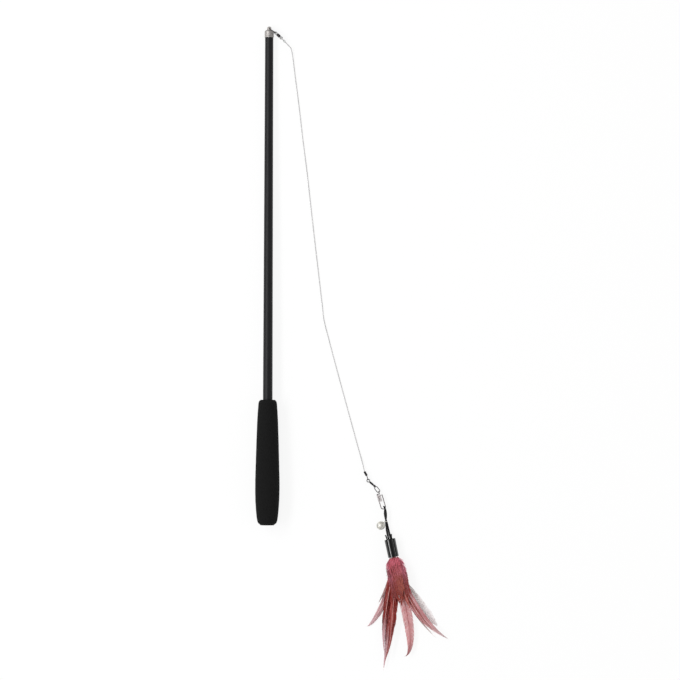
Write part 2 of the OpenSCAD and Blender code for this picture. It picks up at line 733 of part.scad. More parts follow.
module bell_bottom_shell() {
    color("#c4bfae")
    on_bell() difference() {
        sphere(d = bell_d);
        sphere(d = bell_d - 2 * bell_wall);
        translate([0, 0, bell_d / 2])
            cube([bell_d + over, bell_d + over, bell_d], center = true);
        for (turn = [45, 135]) {
            rotate([0, 0, turn]) translate([0, 0, -bell_r * cos(slot_polar) - bell_d / 2])
                cube([bell_d, slot_w, bell_d], center = true);
            for (side = [-1, 1])
                rotate([0, 0, turn]) rotate([0, side * (180 - slot_polar), 0])
                    cylinder(d = 2.2 * slot_w, h = bell_d);
        }
    }
}

pea_low = bell_wall + seat / 2 + pea_d / 2;

module bell_pea() {
    color("#9a9a9a")
    on_lure() translate([bell_at.x, bell_at.y, pea_low]) sphere(d = pea_d);
}

// Feathers: each leaves the ferrule at one turn and ends at another, in degrees towards
// +Y, and lies in a layer of its own. The columns are the tip's place along and across
// as shares of plume_len, turn at the ferrule, turn at the tip, how far the turn at the
// tip reaches back, width as a share of plume_w, and how late the vane opens.
feather_shares = [
    ["feather_veil", 0.70, 0.26, -5, 30, 0.9, 0.75, 1.4, "#cfc6c4"],
    ["feather_right_dark", 0.80, 0.223, -4, 35, 1, 0.2, 0.8, "#3c2424"],
    ["feather_left_low", 0.57, -0.367, -4, -84, 0.4, 0.45, 1, "#c9747f"],
    ["feather_left_high", 0.391, -0.229, -14, -44, 1, 0.27, 0.8, "#a3545c"],
    ["feather_left_short", 0.367, -0.181, -14, -42, 1, 0.22, 0.8, "#c07a80"],
    ["feather_long_left", 0.991, -0.305, -12, -20, 1, 0.56, 0.8, "#b65a5e"],
    ["feather_bowed_left", 0.845, -0.264, -16, -6, 1, 0.5, 0.75, "#7d2f33"],
    ["feather_centre_hook", 0.908, -0.097, 1, -90, 0.5, 0.68, 0.95, "#c0777c"],
    ["feather_long_right", 0.8375, 0.338, 3, 50, 1, 0.6, 0.9, "#b9646b"],
    ["feather_right_inner", 0.75, 0.22, 0, 33, 1, 0.3, 0.8, "#8f3436"],
    ["feather_straight_left", 0.86, -0.235, -10, -20, 1, 0.46, 0.8, "#8a2f32"],
    ["feather_crossing_left", 0.92, -0.278, -6, -28, 1, 0.46, 0.85, "#a9494e"],
    ["feather_left_red", 0.72, -0.185, -8, -18, 1, 0.56, 0.7, "#9c3a3c"],
    ["feather_centre_short", 0.5, 0.05, 0, 8, 1, 0.6, 0.7, "#a84448"],
    ["down_left", 0.42, -0.1, -26, -4, 1, 0.92, 0.36, "#c9737f"],
    ["down_right", 0.40, 0.08, 24, 0, 1, 0.9, 0.36, "#c5656f"],
    ["down_middle", 0.46, -0.02, -4, -4, 1, 0.95, 0.4, "#cd7882"],
    ["down_top", 0.36, 0.01, 2, 0, 1, 0.85, 0.36, "#d58892"]];
layer_count = len(feather_shares);
stations = 11;
layer_rise = 0.45 * plume_len;

// Height of a layer's middle at a distance from the ferrule's mouth
function settle(r) = let (t = min(1, max(0, r) / layer_rise)) t * t * (3 - 2 * t);
mouth_low = ferrule_h - layer_mouth * (layer_count - 1) / 2;
floor_low = 0.6 * layer_spread;
function layer_h(i, r) = let (t = settle(r))
    mouth_low + (floor_low - mouth_low) * t + i * (layer_mouth + (layer_spread - layer_mouth) * t);
function half_thick(r) = 0.34 * (layer_mouth + (layer_spread - layer_mouth) * settle(r));

// Half of a feather's width at a share of its length
function vane(u, f) = max(quill_w / 2, f[6] * plume_w / 2 * sin(180 * u ^ f[7]) ^ 0.8);

// Middle line of a feather past the ferrule's mouth, and the turn along it
function spine_point(f, t) = let (tip = plume_len * [f[1], f[2]], pull = norm(tip))
    blend_point([0, 0], tip, pull * [cos(f[3]), sin(f[3])],
        f[5] * pull * [cos(f[4]), sin(f[4])], t);
function spine_turn(f, t) = let (step = 1 / stations / 4,
        way = spine_point(f, t + step) - spine_point(f, t - step))
    atan2(way.y, way.x);

module feather(i) {
    f = feather_shares[i];
    rows = concat([for (back = [quill_len, quill_len / 4]) [-back, 0, 0, quill_w / 2]],
        [for (j = [0:stations]) let (t = j / stations, at = spine_point(f, t))
            [at.x, at.y, spine_turn(f, t), j == stations ? quill_w / 5
                : j == 0 ? quill_w : vane(t, f)]]);
    points = [for (q = rows) let (
        at = [q.x, q.y],
        side = q[3] * [-sin(q[2]), cos(q[2])],
        left = at + side,
        right = at - side,
        inside = q.x < 0,
        far = inside ? 0 : norm(at),
        left_far = inside ? 0 : norm(left),
        right_far = inside ? 0 : norm(right))
        for (corner = [[left.x, left.y, layer_h(i, left_far)],
            [q.x, q.y, layer_h(i, far) + half_thick(far)],
            [right.x, right.y, layer_h(i, right_far)],
            [q.x, q.y, layer_h(i, far) - half_thick(far)]]) corner];
    count = len(rows);
    faces = concat(
        [for (j = [0:count - 2]) for (k = [0:3])
            let (a = 4 * j + k, b = 4 * j + (k + 1) % 4)
            for (face = [[a, b, b + 4], [a, b + 4, a + 4]]) face],
        [[3, 2, 1, 0], [for (k = [0:3]) 4 * (count - 1) + k]]);
    color(f[8])
    on_lure() translate([ferrule_to, 0, 0]) polyhedron(points, faces);
}

foam_grip();
butt_plug();
butt_section();
middle_section();
tip_section();
tip_cap();
tip_ring();
upper_swivel_top_eye();
upper_swivel_barrel();
upper_swivel_bottom_eye();
line();
line_top_loop();
line_sleeve();
crimp_sleeve();
hook_loop();
lower_swivel_top_eye();
lower_swivel_barrel();
lower_swivel_long_eye();
snap_wire();
snap_clasp();
snap_gate();
lure_cord();
cord_ends();
ferrule();
ferrule_plug();
bell_shank();
bell_top_shell();
bell_bottom_shell();
bell_pea();
for (i = [0:layer_count - 1])
    feather(i);
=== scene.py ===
"""Looks of a telescopic cat teaser wand: foam grip, satin rod, line, swivels, snap,
bell, and a lure of dyed feathers. Lengths in the tables are in millimetres."""
import json
import math

import bpy
from bpy.props import FloatProperty, FloatVectorProperty, IntProperty, PointerProperty
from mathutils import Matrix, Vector, noise


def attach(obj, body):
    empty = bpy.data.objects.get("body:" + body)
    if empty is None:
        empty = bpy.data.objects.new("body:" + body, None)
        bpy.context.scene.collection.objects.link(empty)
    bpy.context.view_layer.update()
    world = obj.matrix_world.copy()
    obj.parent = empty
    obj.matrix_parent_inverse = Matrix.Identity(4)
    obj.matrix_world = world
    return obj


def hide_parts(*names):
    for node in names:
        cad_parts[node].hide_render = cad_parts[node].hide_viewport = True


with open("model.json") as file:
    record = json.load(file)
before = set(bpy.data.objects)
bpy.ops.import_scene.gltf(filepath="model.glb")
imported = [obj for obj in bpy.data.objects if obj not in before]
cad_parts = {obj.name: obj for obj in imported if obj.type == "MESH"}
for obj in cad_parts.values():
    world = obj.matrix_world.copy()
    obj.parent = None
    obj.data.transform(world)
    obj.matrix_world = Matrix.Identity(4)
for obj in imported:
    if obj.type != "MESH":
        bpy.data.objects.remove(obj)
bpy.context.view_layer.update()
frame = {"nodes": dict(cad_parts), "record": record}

bl_info = {
    "name": "Cat teaser wand",
    "version": (1, 0, 0),
    "blender": (4, 5, 0),
    "location": "3D View > Sidebar > Teaser wand",
    "description": "Dresses the packed teaser wand: foam, rod, line, metalwork and feathers",
    "category": "Object",
}

MM = 0.001
BLACK = (0.0, 0.0, 0.0)
WHITE = (1.0, 1.0, 1.0)

# The stage: the camera's place and roll; each lamp's azimuth, tilt from straight up, distance
# and size; the height and grey of each band of sky that gloss shows, and how much brighter it
# is on the left than on the right; the floor's half width, its level and its glow
CAMERA_AT, CAMERA_ROLL = (-0.01052, 0.0069), math.radians(0.218)
KEY_LAMP, SIDE_LAMP = (172, 40, 1.3, (1.5, 0.28)), (-8, 60, 1.3, (1.3, 0.15))
SKY_BANDS = ((0.0, 0.3), (0.12, 0.2), (0.25, 0.08), (0.5, 0.12), (0.64, 0.75), (0.88, 0.6),
             (0.975, 0.16))
SKY_LEFT, SKY_RIGHT = 1.25, 0.6
FLOOR_HALF, FLOOR_LEVEL, FLOOR_GLOW = 6.0, -0.0002, 0.87

# The wand: its butt end, its tilt on the surface, and the rod's outside
WAND_BUTT = Vector((-68.0, -141.0, 10.3067))
WAND_TILT = math.radians(0.96589)
ROD_LENGTH, ROD_MOUTH, ROD_TAPER = 389.4, 6.55, 0.0038

# Outline of the foam: share of its length, share of its largest diameter
GRIP_OUTLINE = (
    (0, 0.54), (0.008, 0.63), (0.016, 0.73), (0.024, 0.78), (0.04, 0.83), (0.056, 0.857),
    (0.08, 0.887), (0.12, 0.928), (0.2, 0.98), (0.28, 1), (0.36, 0.995), (0.52, 0.954),
    (0.68, 0.908), (0.84, 0.849), (0.92, 0.8), (0.968, 0.76), (0.984, 0.73), (0.994, 0.66),
    (1, 0.56))

# The line's route from its sleeve to its crimp
LINE_ROUTE = (
    (-55.3106, 244.852, 3.625),
    (-53.5, 243.1, 3.2), (-52.0, 241.5, 2.8), (-50.6, 240.0, 2.3), (-49.8, 236.8, 1.6),
    (-49.0, 232.0, 1.0), (-48.0, 224.0, 0.6), (-47.1, 217.0, 0.5), (-43.8, 192.0, 0.5),
    (-40.7, 166.0, 0.5), (-37.4, 141.0, 0.5), (-34.2, 113.0, 0.5), (-30.7, 83.2, 0.5),
    (-27.6, 57.5, 0.5), (-25.3, 38.4, 0.5), (-24.5, 32.0, 0.5), (-23.9, 25.7, 0.5),
    (-22.6, 19.2, 0.5), (-20.9, 12.8, 0.5), (-17.5, 0.0, 0.5), (-8.8, -31.9, 0.5),
    (0.1, -63.9, 0.5), (5.0, -81.5, 0.6), (7.3, -89.4, 1.1), (8.9, -95.8, 1.75),
    (9.333, -98.085, 2.25))

# The lure: where its own frame lies, its cord's bend on the snap, and its ferrule
LURE_AT = (24.6173, -127.701)
LURE_HEADING = math.radians(-77.8)
CORD, TAIL = 1.4, 1.1
BEND_RADIUS, BEND_SIDE, BEND_HEIGHT, BEND_TWIST = 1.5, 1.26, 2.25, math.radians(15)
FERRULE_FROM, FERRULE_LENGTH, FERRULE_HEIGHT = 24.9, 14.4, 4.4
FERRULE_TO = FERRULE_FROM + FERRULE_LENGTH
UPPER_STRAND = ((3.5, 1.45, 3.4), (6.5, 0.95, 3.42), (9, 0.2, 3.45), (10.6, -0.2, 3.45),
                (12, -0.4, 3.45), (14.5, -0.65, 3.5), (17.5, -0.95, 3.95), (20, -1.0, 4.4))
LOWER_STRAND = ((2.5, 0.65, 0.77), (4.5, 0.15, 0.8), (7, 0.05, 0.88), (9, 0.15, 1.0),
                (10.6, 0.35, 1.15), (12, 0.5, 1.35), (14.5, 0.55, 1.9), (17.5, 0.55, 2.7),
                (20, 0.6, 3.4))
STRAND_SHARES = ((-0.62, 0.25), (0.62, -0.25))
END_SHARES = ((-2.07, -0.75), (1.45, 1.15))
# How much thicker the cord gets towards its ferrule, from where, and over what length
PLUMP, PLUMP_FROM, PLUMP_OVER = 0.15, 15.0, 3.0
# The mesh of the cord and its ends, and the depth and roundness of the plies' lobes
CORD_PITCH, TAIL_PITCH, CORD_SIDES = 0.22, 0.2, 18
LOBE_FLOOR, LOBE_DEPTH, LOBE_SHAPE = 0.84, 0.16, 0.7
# The mesh of the foam's skin
FOAM_PITCH, FOAM_SIDES, BORE_STEPS = 0.55, 112, 24

# The bell's middle, its width and its wall
BELL_AT, BELL_WIDTH, BELL_WALL = (22.6773, -141.225, 3.45), 6.9, 0.35

# Feathers from the lowest layer to the highest: the tip along and across as shares of the
# reach, turn at the ferrule, turn at the tip, pull of the tip, width as a share of the
# widest, how late the vane opens, its kind, then the colours of root, body and tip
FEATHERS = (
    ("feather_veil", 0.70, 0.26, -5, 30, 0.9, 0.75, 1.4, "veil", "ccb4b0", "e0d4d1", "ece4e4"),
    ("feather_right_dark", 0.80, 0.223, -4, 35, 1, 0.2, 0.8, "smooth",
     "94524e", "845854", "c1c2bd"),
    ("feather_left_low", 0.57, -0.367, -4, -84, 0.4, 0.45, 1, "smooth",
     "b06a6c", "b28488", "c0a2a7"),
    ("feather_left_high", 0.391, -0.229, -14, -44, 1, 0.27, 0.8, "split",
     "a45a54", "a57875", "8c7c7c"),
    ("feather_left_short", 0.367, -0.181, -14, -42, 1, 0.22, 0.8, "split",
     "b0706c", "b29290", "9a8e8e"),
    ("feather_long_left", 0.991, -0.305, -12, -20, 1, 0.56, 0.8, "split",
     "8a3028", "8e4440", "c0a0a6"),
    ("feather_bowed_left", 0.845, -0.264, -16, -6, 1, 0.5, 0.75, "split",
     "762018", "7c2c28", "c4a4aa"),
    ("feather_centre_hook", 0.908, -0.097, 1, -90, 0.5, 0.73, 0.95, "hook",
     "9c443c", "c48a8c", "6a343a"),
    ("feather_long_right", 0.8375, 0.338, 3, 50, 1, 0.6, 0.9, "smooth",
     "9c4c46", "c48e91", "b6a4a6"),
    ("feather_right_inner", 0.75, 0.22, 0, 33, 1, 0.3, 0.8, "smooth",
     "8a3028", "904440", "b88c8c"),
    ("feather_straight_left", 0.86, -0.235, -10, -20, 1, 0.46, 0.8, "split",
     "7c1e18", "741a16", "8c3c38"),
    ("feather_crossing_left", 0.92, -0.278, -6, -28, 1, 0.46, 0.85, "split",
     "86302a", "86322c", "8c4a48"),
    ("feather_left_red", 0.72, -0.185, -8, -18, 1, 0.56, 0.7, "split",
     "862c24", "82261e", "964c48"),
    ("feather_centre_short", 0.5, 0.05, 0, 8, 1, 0.6, 0.7, "split",
     "8c2c22", "8a2e24", "a05048"),
    ("down_left", 0.42, -0.07, -15, -4, 1, 0.92, 0.55, "down", "d6768a", "bc6c7c", "8c403c"),
    ("down_right", 0.40, 0.06, 14, 0, 1, 0.9, 0.55, "down", "d47488", "b86878", "883c36"),
    ("down_middle", 0.46, -0.02, -4, -4, 1, 0.95, 0.55, "down", "dc6a7a", "b0585a", "8c3e34"),
    ("down_top", 0.36, 0.01, 2, 0, 1, 0.85, 0.55, "down", "e07084", "b65e64", "a05448"))

# How each kind of vane is made: the lead of its barbs, its locks, how far they split and
# scatter, its fluff, its share of the vane's width, how square the vane is, how thin it runs
# out at the tip, how uneven its dye is, where its tip colour starts, how much of it has dark
# and light streaks, and the colours of those streaks and of its quill
KIND_FIELDS = ("lead", "locks", "split", "scatter", "fluff", "fill", "square", "taper",
               "uneven", "tip_from", "darker", "lighter", "dark", "light", "quill")
KINDS = {name: dict(zip(KIND_FIELDS, row)) for name, row in {
    "veil": (1.7, 30.0, 0.25, 0.35, 0.3, 1.0, 0.8, 0.0, 0.12, 0.5, 0.25, 0.4, "a89490",
             "e8e4e4", "dcd4d2"),
    "smooth": (2.4, 26.0, 0.25, 0.16, 0.0, 0.95, 0.8, 0.25, 0.3, 0.72, 0.4, 0.5, "90504e",
               "dcc0c0", "dcb4b2"),
    "hook": (1.1, 26.0, 0.3, 0.16, 0.0, 0.95, 0.7, 0.8, 0.25, 0.8, 0.3, 0.5, "a05c5c",
             "d8b4b4", "94504e"),
    "split": (3.0, 13.0, 0.8, 0.25, 0.0, 0.85, 0.8, 0.2, 0.4, 0.6, 0.9, 0.3, "480e08",
              "c07c7a", "e0aca8"),
    "down": (3.2, 50.0, 0.2, 0.14, 1.0, 0.46, 0.5, 0.7, 0.3, 0.46, 0.85, 0.4, "5c2a26",
             "b07888", "7c3432")}.items()}
PLUME_LENGTH, PLUME_WIDTH, QUILL_LENGTH, QUILL_WIDTH = 88.0, 12.0, 8.0, 0.7
# Height from one layer to the next in the ferrule's mouth and on the surface, and the reach
# over which the layers come down
LAYER_MOUTH, LAYER_SPREAD, LAYER_RISE = 0.31, 0.5, 0.45 * PLUME_LENGTH
# A down feather is a tuft of shafts: their place in the fan, and for each step of it how far
# they stand aside, turn, part at their tips and fall short; and how far a tuft stands aside
# for each degree that it leans
TUFT = (-1, 0, 1)
TUFT_ASIDE, TUFT_TURN, TUFT_PART, TUFT_SHORT, LEAN_ASIDE = 1.2, 4, 1.6, 0.07, 0.107
SHAFT_STEPS = 56
# How much of its lead a fully fluffy barb gives up
FLUFF_LEAD = 0.35

# Finishes of the CAD pieces, in groups: name, colour, second colour, roughness, other values,
# pieces. A colour can be the name of one of the metal settings.
FINISHES = {
    "rod": (
        ("Satin black rod", "101012", "18181b", 0.52,
         dict(spread=0.1, amount=0.5, stretch=(1, 0.08, 1), broad=400.0, fine=5000.0,
              relief=0.012, Specular_IOR_Level=0.3),
         ("butt_section", "middle_section", "tip_section")),
        ("Moulded plug", "191818", "242222", 0.6, dict(broad=300.0),
         ("butt_plug", "ferrule_plug")),
        ("Turned cap", "cap", "ccc8c4", 0.6,
         dict(spread=0.2, amount=0.9, stretch=(0.15, 1, 0.15), broad=1800.0, fine=9000.0,
              relief=0.03, metallic=1.0), ("tip_cap",))),
    "metalwork": (
        ("Drawn ring wire", "5c5758", "474344", 0.36,
         dict(broad=700.0, fine=6000.0, metallic=1.0), ("tip_ring",)),
        ("Black nickel", "4a4648", "323032", 0.36,
         dict(spread=0.2, broad=900.0, fine=6000.0, relief=0.015, metallic=1.0),
         ("upper_swivel_top_eye", "upper_swivel_barrel", "upper_swivel_bottom_eye",
          "lower_swivel_top_eye", "lower_swivel_barrel", "lower_swivel_long_eye")),
        ("Bright nickel", "nickel", "6e6668", 0.42,
         dict(spread=0.14, broad=800.0, fine=6000.0, relief=0.012, metallic=1.0),
         ("snap_wire", "snap_gate")),
        ("Brushed nickel", "ece6e6", "c8c2c2", 0.6,
         dict(spread=0.2, amount=0.7, stretch=(1, 0.2, 1), broad=900.0, fine=6000.0,
              relief=0.012, metallic=1.0), ("snap_clasp",)),
        ("Blackened metal", "232122", "3a3739", 0.4,
         dict(spread=0.2, broad=900.0, fine=5000.0, metallic=0.6),
         ("crimp_sleeve", "hook_loop")),
        ("Clear sleeve", "d2d4d3", "bcc0be", 0.18,
         dict(broad=500.0, relief=0.01, Transmission_Weight=0.45, IOR=1.45),
         ("line_sleeve",)),
        ("Nickel bell", "bell", "d6d3ca", 0.62,
         dict(spread=0.16, broad=450.0, fine=4000.0, metallic=1.0),
         ("bell_top_shell", "bell_bottom_shell", "bell_shank")),
        ("Steel pea", "8e8d8c", "6f6d6c", 0.35, dict(broad=900.0, metallic=1.0),
         ("bell_pea",))),
    "ferrule": (
        ("Shrunk black tube", "040404", "0a0a0b", 0.12,
         dict(spread=0.06, amount=0.5, stretch=(0.12, 1, 1), turn=(0, 0, -LURE_HEADING),
              broad=500.0, fine=2200.0, relief=0.01, Specular_IOR_Level=0.75),
         ("ferrule",)),)}


# Points and paths

def unit(vector):
    return vector.normalized()


def route(points, pitch):
    """Smooth curve through points, with a point about every pitch."""
    points = [Vector(p) for p in points]
    count = len(points)

    def slope(i):
        if i == 0:
            return unit(points[1] - points[0])
        if i == count - 1:
            return unit(points[i] - points[i - 1])
        before = (points[i] - points[i - 1]).length
        after = (points[i + 1] - points[i]).length
        return ((points[i + 1] - points[i]) * before / after
                + (points[i] - points[i - 1]) * after / before) / (before + after)

    path = []
    for i in range(count - 1):
        gap = (points[i + 1] - points[i]).length
        steps = max(1, round(gap / pitch))
        for k in range(steps):
            path.append(hermite(points[i], points[i + 1], gap * slope(i),
                                gap * slope(i + 1), k / steps))
    return path + [points[-1]]


def hermite(a, b, u, v, t):
    return ((2 * t ** 3 - 3 * t ** 2 + 1) * a + (t ** 3 - 2 * t ** 2 + t) * u
            + (3 * t ** 2 - 2 * t ** 3) * b + (t ** 3 - t ** 2) * v)


def on_wand(along, side, up):
    """A point beside the wand's axis, in metres."""
    forward = Vector((0, math.cos(WAND_TILT), -math.sin(WAND_TILT)))
    upward = Vector((0, math.sin(WAND_TILT), math.cos(WAND_TILT)))
    return MM * (WAND_BUTT + along * forward + up * upward + Vector((side, 0, 0)))


def on_lure(along, across, height):
    """A point of the lure's own frame, in metres."""
    c, s = math.cos(LURE_HEADING), math.sin(LURE_HEADING)
    return MM * Vector((LURE_AT[0] + along * c - across * s,
                        LURE_AT[1] + along * s + across * c, height))


def rod_diameter(along):
    return ROD_MOUTH + ROD_TAPER * (ROD_LENGTH - along)


def linear(code):
    """Linear colour of a six-digit code."""
    values = [int(code[i:i + 2], 16) / 255 for i in (0, 2, 4)]
    return tuple(v / 12.92 if v < 0.04045 else ((v + 0.055) / 1.055) ** 2.4 for v in values)


def shade(colour):
    """Linear colour of a code, or a setting's own colour."""
    return linear(colour) if isinstance(colour, str) else tuple(colour)


# Node wiring

def wire(tree, kind, inputs=(), out=0, family="ShaderNode", **settings):
    """Adds a node, sets it, feeds its inputs by place or by name, and returns one output.
    Its type is named by a family and a kind."""
    node = tree.nodes.new(family + kind)
    for name, value in settings.items():
        setattr(node, name, value)
    pairs = inputs.items() if isinstance(inputs, dict) else enumerate(inputs)
    for key, value in pairs:
        if value is None:
            continue
        socket = node.inputs[key]
        if isinstance(value, bpy.types.NodeSocket):
            tree.links.new(value, socket)
        elif socket.type == "RGBA" and len(value) == 3:
            socket.default_value = (*value, 1.0)
        else:
            socket.default_value = value
    return node.outputs[out] if node.outputs else None


def maths(tree, operation, *values):
    return wire(tree, "Math", values, operation=operation)


def sums(tree):
    """Functions that add nodes to a tree for a product, a sum and a difference."""
    def times(*values):
        total = values[0]
        for value in values[1:]:
            total = maths(tree, "MULTIPLY", total, value)
        return total

    def plus(a, b):
        return maths(tree, "ADD", a, b)

    def less(a, b):
        return maths(tree, "SUBTRACT", a, b)

    return times, plus, less


def give(tree, node, **values):
    """Feeds a node's inputs; an underscore stands for a space in their names."""
    for name, value in values.items():
        tree.links.new(value, node.inputs[name.replace("_", " ")])


def vectors(tree, operation, *values, out=0):
    return wire(tree, "VectorMath", values, out=out, operation=operation)


def scaled(tree, vector, factor):
    return wire(tree, "VectorMath", {0: vector, "Scale": factor}, operation="SCALE")


def ramp(tree, value, low, high, to_low=0.0, to_high=1.0):
    """Smooth step of a value between two others."""
    return wire(tree, "MapRange", {"Value": value, "From Min": low, "From Max": high,
                                   "To Min": to_low, "To Max": to_high},
                interpolation_type="SMOOTHSTEP")


def mixed(tree, factor, a, b):
    return wire(tree, "Mix", {0: factor, 6: a, 7: b}, out=2, data_type="RGBA")


def speckle(tree, place, scale, detail):
    return wire(tree, "TexNoise", {"Vector": place, "Scale": scale, "Detail": detail})


def bumped(tree, shader, height, depth):
    """Relief on a shader, of a depth in metres."""
    give(tree, shader, Normal=wire(tree, "Bump", {"Strength": 1.0, "Distance": depth,
                                                  "Height": height}))


def surface(tree, kind, share, plain, shown):
    """Ends a world's or a material's tree: one shader, and a share of another."""
    both = wire(tree, "MixShader", (share, plain, shown))
    give(tree, tree.nodes.new("ShaderNodeOutput" + kind), Surface=both)


def new_group(name, sockets_in, sockets_out, kind="ShaderNodeTree"):
    """A node group with its sockets; gives the tree, its inputs and its output node."""
    tree = bpy.data.node_groups.new(name, kind)
    for label, form, value in sockets_in:
        socket = tree.interface.new_socket(label, in_out="INPUT", socket_type="NodeSocket" + form)
        if value is not None:
            socket.default_value = (*value, 1.0) if form == "Color" else value
    for label, form in sockets_out:
        tree.interface.new_socket(label, in_out="OUTPUT", socket_type="NodeSocket" + form)
    given = tree.nodes.new("NodeGroupInput").outputs
    result = tree.nodes.new("NodeGroupOutput")
    return tree, given, result


# Effects that several materials share

def grain_group():
    """Uneven colour and gloss, with fine relief; Stretch draws the grain out one way."""
    tree, given, result = new_group(
        "Grain",
        [("Colour", "Color", WHITE), ("Second colour", "Color", WHITE),
         ("Stretch", "Vector", (1.0, 1.0, 1.0)), ("Turn", "Vector", (0.0, 0.0, 0.0)),
         ("Broad scale", "Float", 120.0), ("Fine scale", "Float", 2500.0),
         ("Amount", "Float", 0.6), ("Roughness", "Float", 0.4),
         ("Roughness spread", "Float", 0.15)],
        [("Colour", "Color"), ("Roughness", "Float"), ("Height", "Float")])
    place = wire(tree, "TexCoord", out="Object")
    turned = wire(tree, "Mapping", {"Vector": place, "Rotation": given["Turn"]})
    drawn = vectors(tree, "MULTIPLY", turned, given["Stretch"])
    broad = speckle(tree, drawn, given["Broad scale"], 3.0)
    fine = speckle(tree, drawn, given["Fine scale"], 2.0)
    times, plus, less = sums(tree)
    patches = times(ramp(tree, broad, 0.35, 0.68), given["Amount"])
    tint = mixed(tree, patches, given["Colour"], given["Second colour"])
    rough = plus(given["Roughness"], times(less(broad, 0.5), given["Roughness spread"]))
    rough = plus(rough, times(less(fine, 0.5), given["Roughness spread"]))
    give(tree, result, Colour=tint, Roughness=rough, Height=plus(times(broad, 0.4), fine))
    return tree


def cells_group():
    """Small open cells of foam: their relief, and painted shade inside them."""
    tree, given, result = new_group(
        "Foam cells", [("Cell scale", "Float", 1400.0), ("Coarse scale", "Float", 420.0)],
        [("Height", "Float"), ("Dark", "Float")])
    place = wire(tree, "TexCoord", out="Object")
    cells = wire(tree, "TexVoronoi", {"Vector": place, "Scale": given["Cell scale"]})
    coarse = speckle(tree, place, given["Coarse scale"], 4.0)
    times, plus, less = sums(tree)
    pit = ramp(tree, cells, 0.1, 0.55)
    # Dark is painted shade in the pits of the cells.
    give(tree, result, Height=plus(pit, times(coarse, 0.8)), Dark=less(1.0, pit))
    return tree


def dye_group():
    """Dyed feather: root, body and tip colours, with streaks that run along the vane."""
    tree, given, result = new_group(
        "Dyed vane",
        [("Root", "Color", WHITE), ("Body", "Color", WHITE), ("Tip", "Color", WHITE),
         ("Quill", "Color", WHITE), ("Dark", "Color", BLACK), ("Light", "Color", WHITE),
         ("Dark amount", "Float", 0.5), ("Light amount", "Float", 0.5),
         ("Unevenness", "Float", 0.35), ("Tip from", "Float", 0.72), ("Seed", "Float", 0.0)],
        [("Colour", "Color"), ("Roughness", "Float")])

    def read(name):
        return wire(tree, "Attribute", out="Fac", attribute_name=name)

    along, out, side, lot, strand, quill = map(
        read, ("along", "out", "side", "lot", "strand", "quill"))
    times, plus, less = sums(tree)
    place = wire(tree, "CombineXYZ", (times(side, out, 3.6), times(along, 5.0), given["Seed"]))
    streaks = speckle(tree, place, 1.0, 3.0)
    ragged = plus(along, times(less(streaks, 0.5), 0.7))
    tint = mixed(tree, ramp(tree, ragged, 0.1, 0.5), given["Root"], given["Body"])
    tipward = ramp(tree, along, given["Tip from"], plus(given["Tip from"], 0.26))
    tint = mixed(tree, tipward, tint, given["Tip"])
    dark = times(ramp(tree, streaks, 0.5, 0.6), given["Dark amount"],
                 ramp(tree, along, 0.16, 0.34), less(1.0, times(tipward, 0.75)))
    tint = mixed(tree, dark, tint, given["Dark"])
    light = times(ramp(tree, streaks, 0.46, 0.37), given["Light amount"])
    tint = mixed(tree, light, tint, given["Light"])
    depth = less(plus(times(lot, 0.5), times(strand, 0.5)), 0.5)
    level = plus(depth, times(out, out, 0.35))
    value = plus(1.0, times(level, given["Unevenness"]))
    tint = wire(tree, "HueSaturation", {"Value": value, "Color": tint})
    tint = mixed(tree, quill, tint, given["Quill"])
    give(tree, result, Colour=tint, Roughness=ramp(tree, strand, 0.0, 1.0, 0.45, 0.7))
    return tree


def placed(tree, group, **values):
    """A group's node in a material, with its own values."""
    node = tree.nodes.new("ShaderNodeGroup")
    node.node_tree = group
    for name, value in values.items():
        socket = node.inputs[name.replace("_", " ")]
        socket.default_value = (*value, 1.0) if socket.type == "RGBA" else value
    return node.outputs


def new_material(name, metallic=0.0, **sockets):
    """A material with one Principled shader whose plain values are set on its sockets."""
    material = bpy.data.materials.new(name)
    material.use_nodes = True
    shader = material.node_tree.nodes["Principled BSDF"]
    shader.inputs["Metallic"].default_value = metallic
    for label, value in sockets.items():
        shader.inputs[label.replace("_", " ")].default_value = value
    return material, material.node_tree, shader


def grained(name, colour, second, roughness, spread=0.15, amount=0.6, stretch=(1, 1, 1),
            turn=(0, 0, 0), broad=120.0, fine=2500.0, relief=0.02, metallic=0.0, **sockets):
    """A material whose colour, gloss and relief come from the Grain group."""
    material, tree, shader = new_material(name, metallic, **sockets)
    effect = placed(tree, GROUPS["grain"], Colour=shade(colour), Second_colour=shade(second),
                    Stretch=stretch, Turn=turn, Broad_scale=broad, Fine_scale=fine,
                    Amount=amount, Roughness=roughness, Roughness_spread=spread)
    give(tree, shader, Base_Color=effect["Colour"], Roughness=effect["Roughness"])
    if relief:
        bumped(tree, shader, effect["Height"], relief * MM)
    return material


GROUPS = {}


def make_groups():
    if not GROUPS:
        GROUPS.update(grain=grain_group(), cells=cells_group(), dye=dye_group())


def linked(name, data):
    """A new object in the scene."""
    piece = bpy.data.objects.new(name, data)
    bpy.context.scene.collection.objects.link(piece)
    return piece


# Mesh pieces

def paint_shade_inside(material, node, centre, radius):
    """Painted shade on whatever lies nearer to a centre than a radius, as inside a bell."""
    tree = material.node_tree
    middle = frame["nodes"][node].matrix_world.inverted() @ (MM * Vector(centre))
    place = wire(tree, "TexCoord", out="Object")
    away = vectors(tree, "DISTANCE", place, tuple(middle), out="Value")
    inside = ramp(tree, away, MM * (radius + 0.06), MM * (radius - 0.06))
    socket = tree.nodes["Principled BSDF"].inputs["Base Color"]
    # The dark colour within the radius is painted shade in the bell's hollow.
    tree.links.new(mixed(tree, inside, socket.links[0].from_socket, linear("1a1816")), socket)


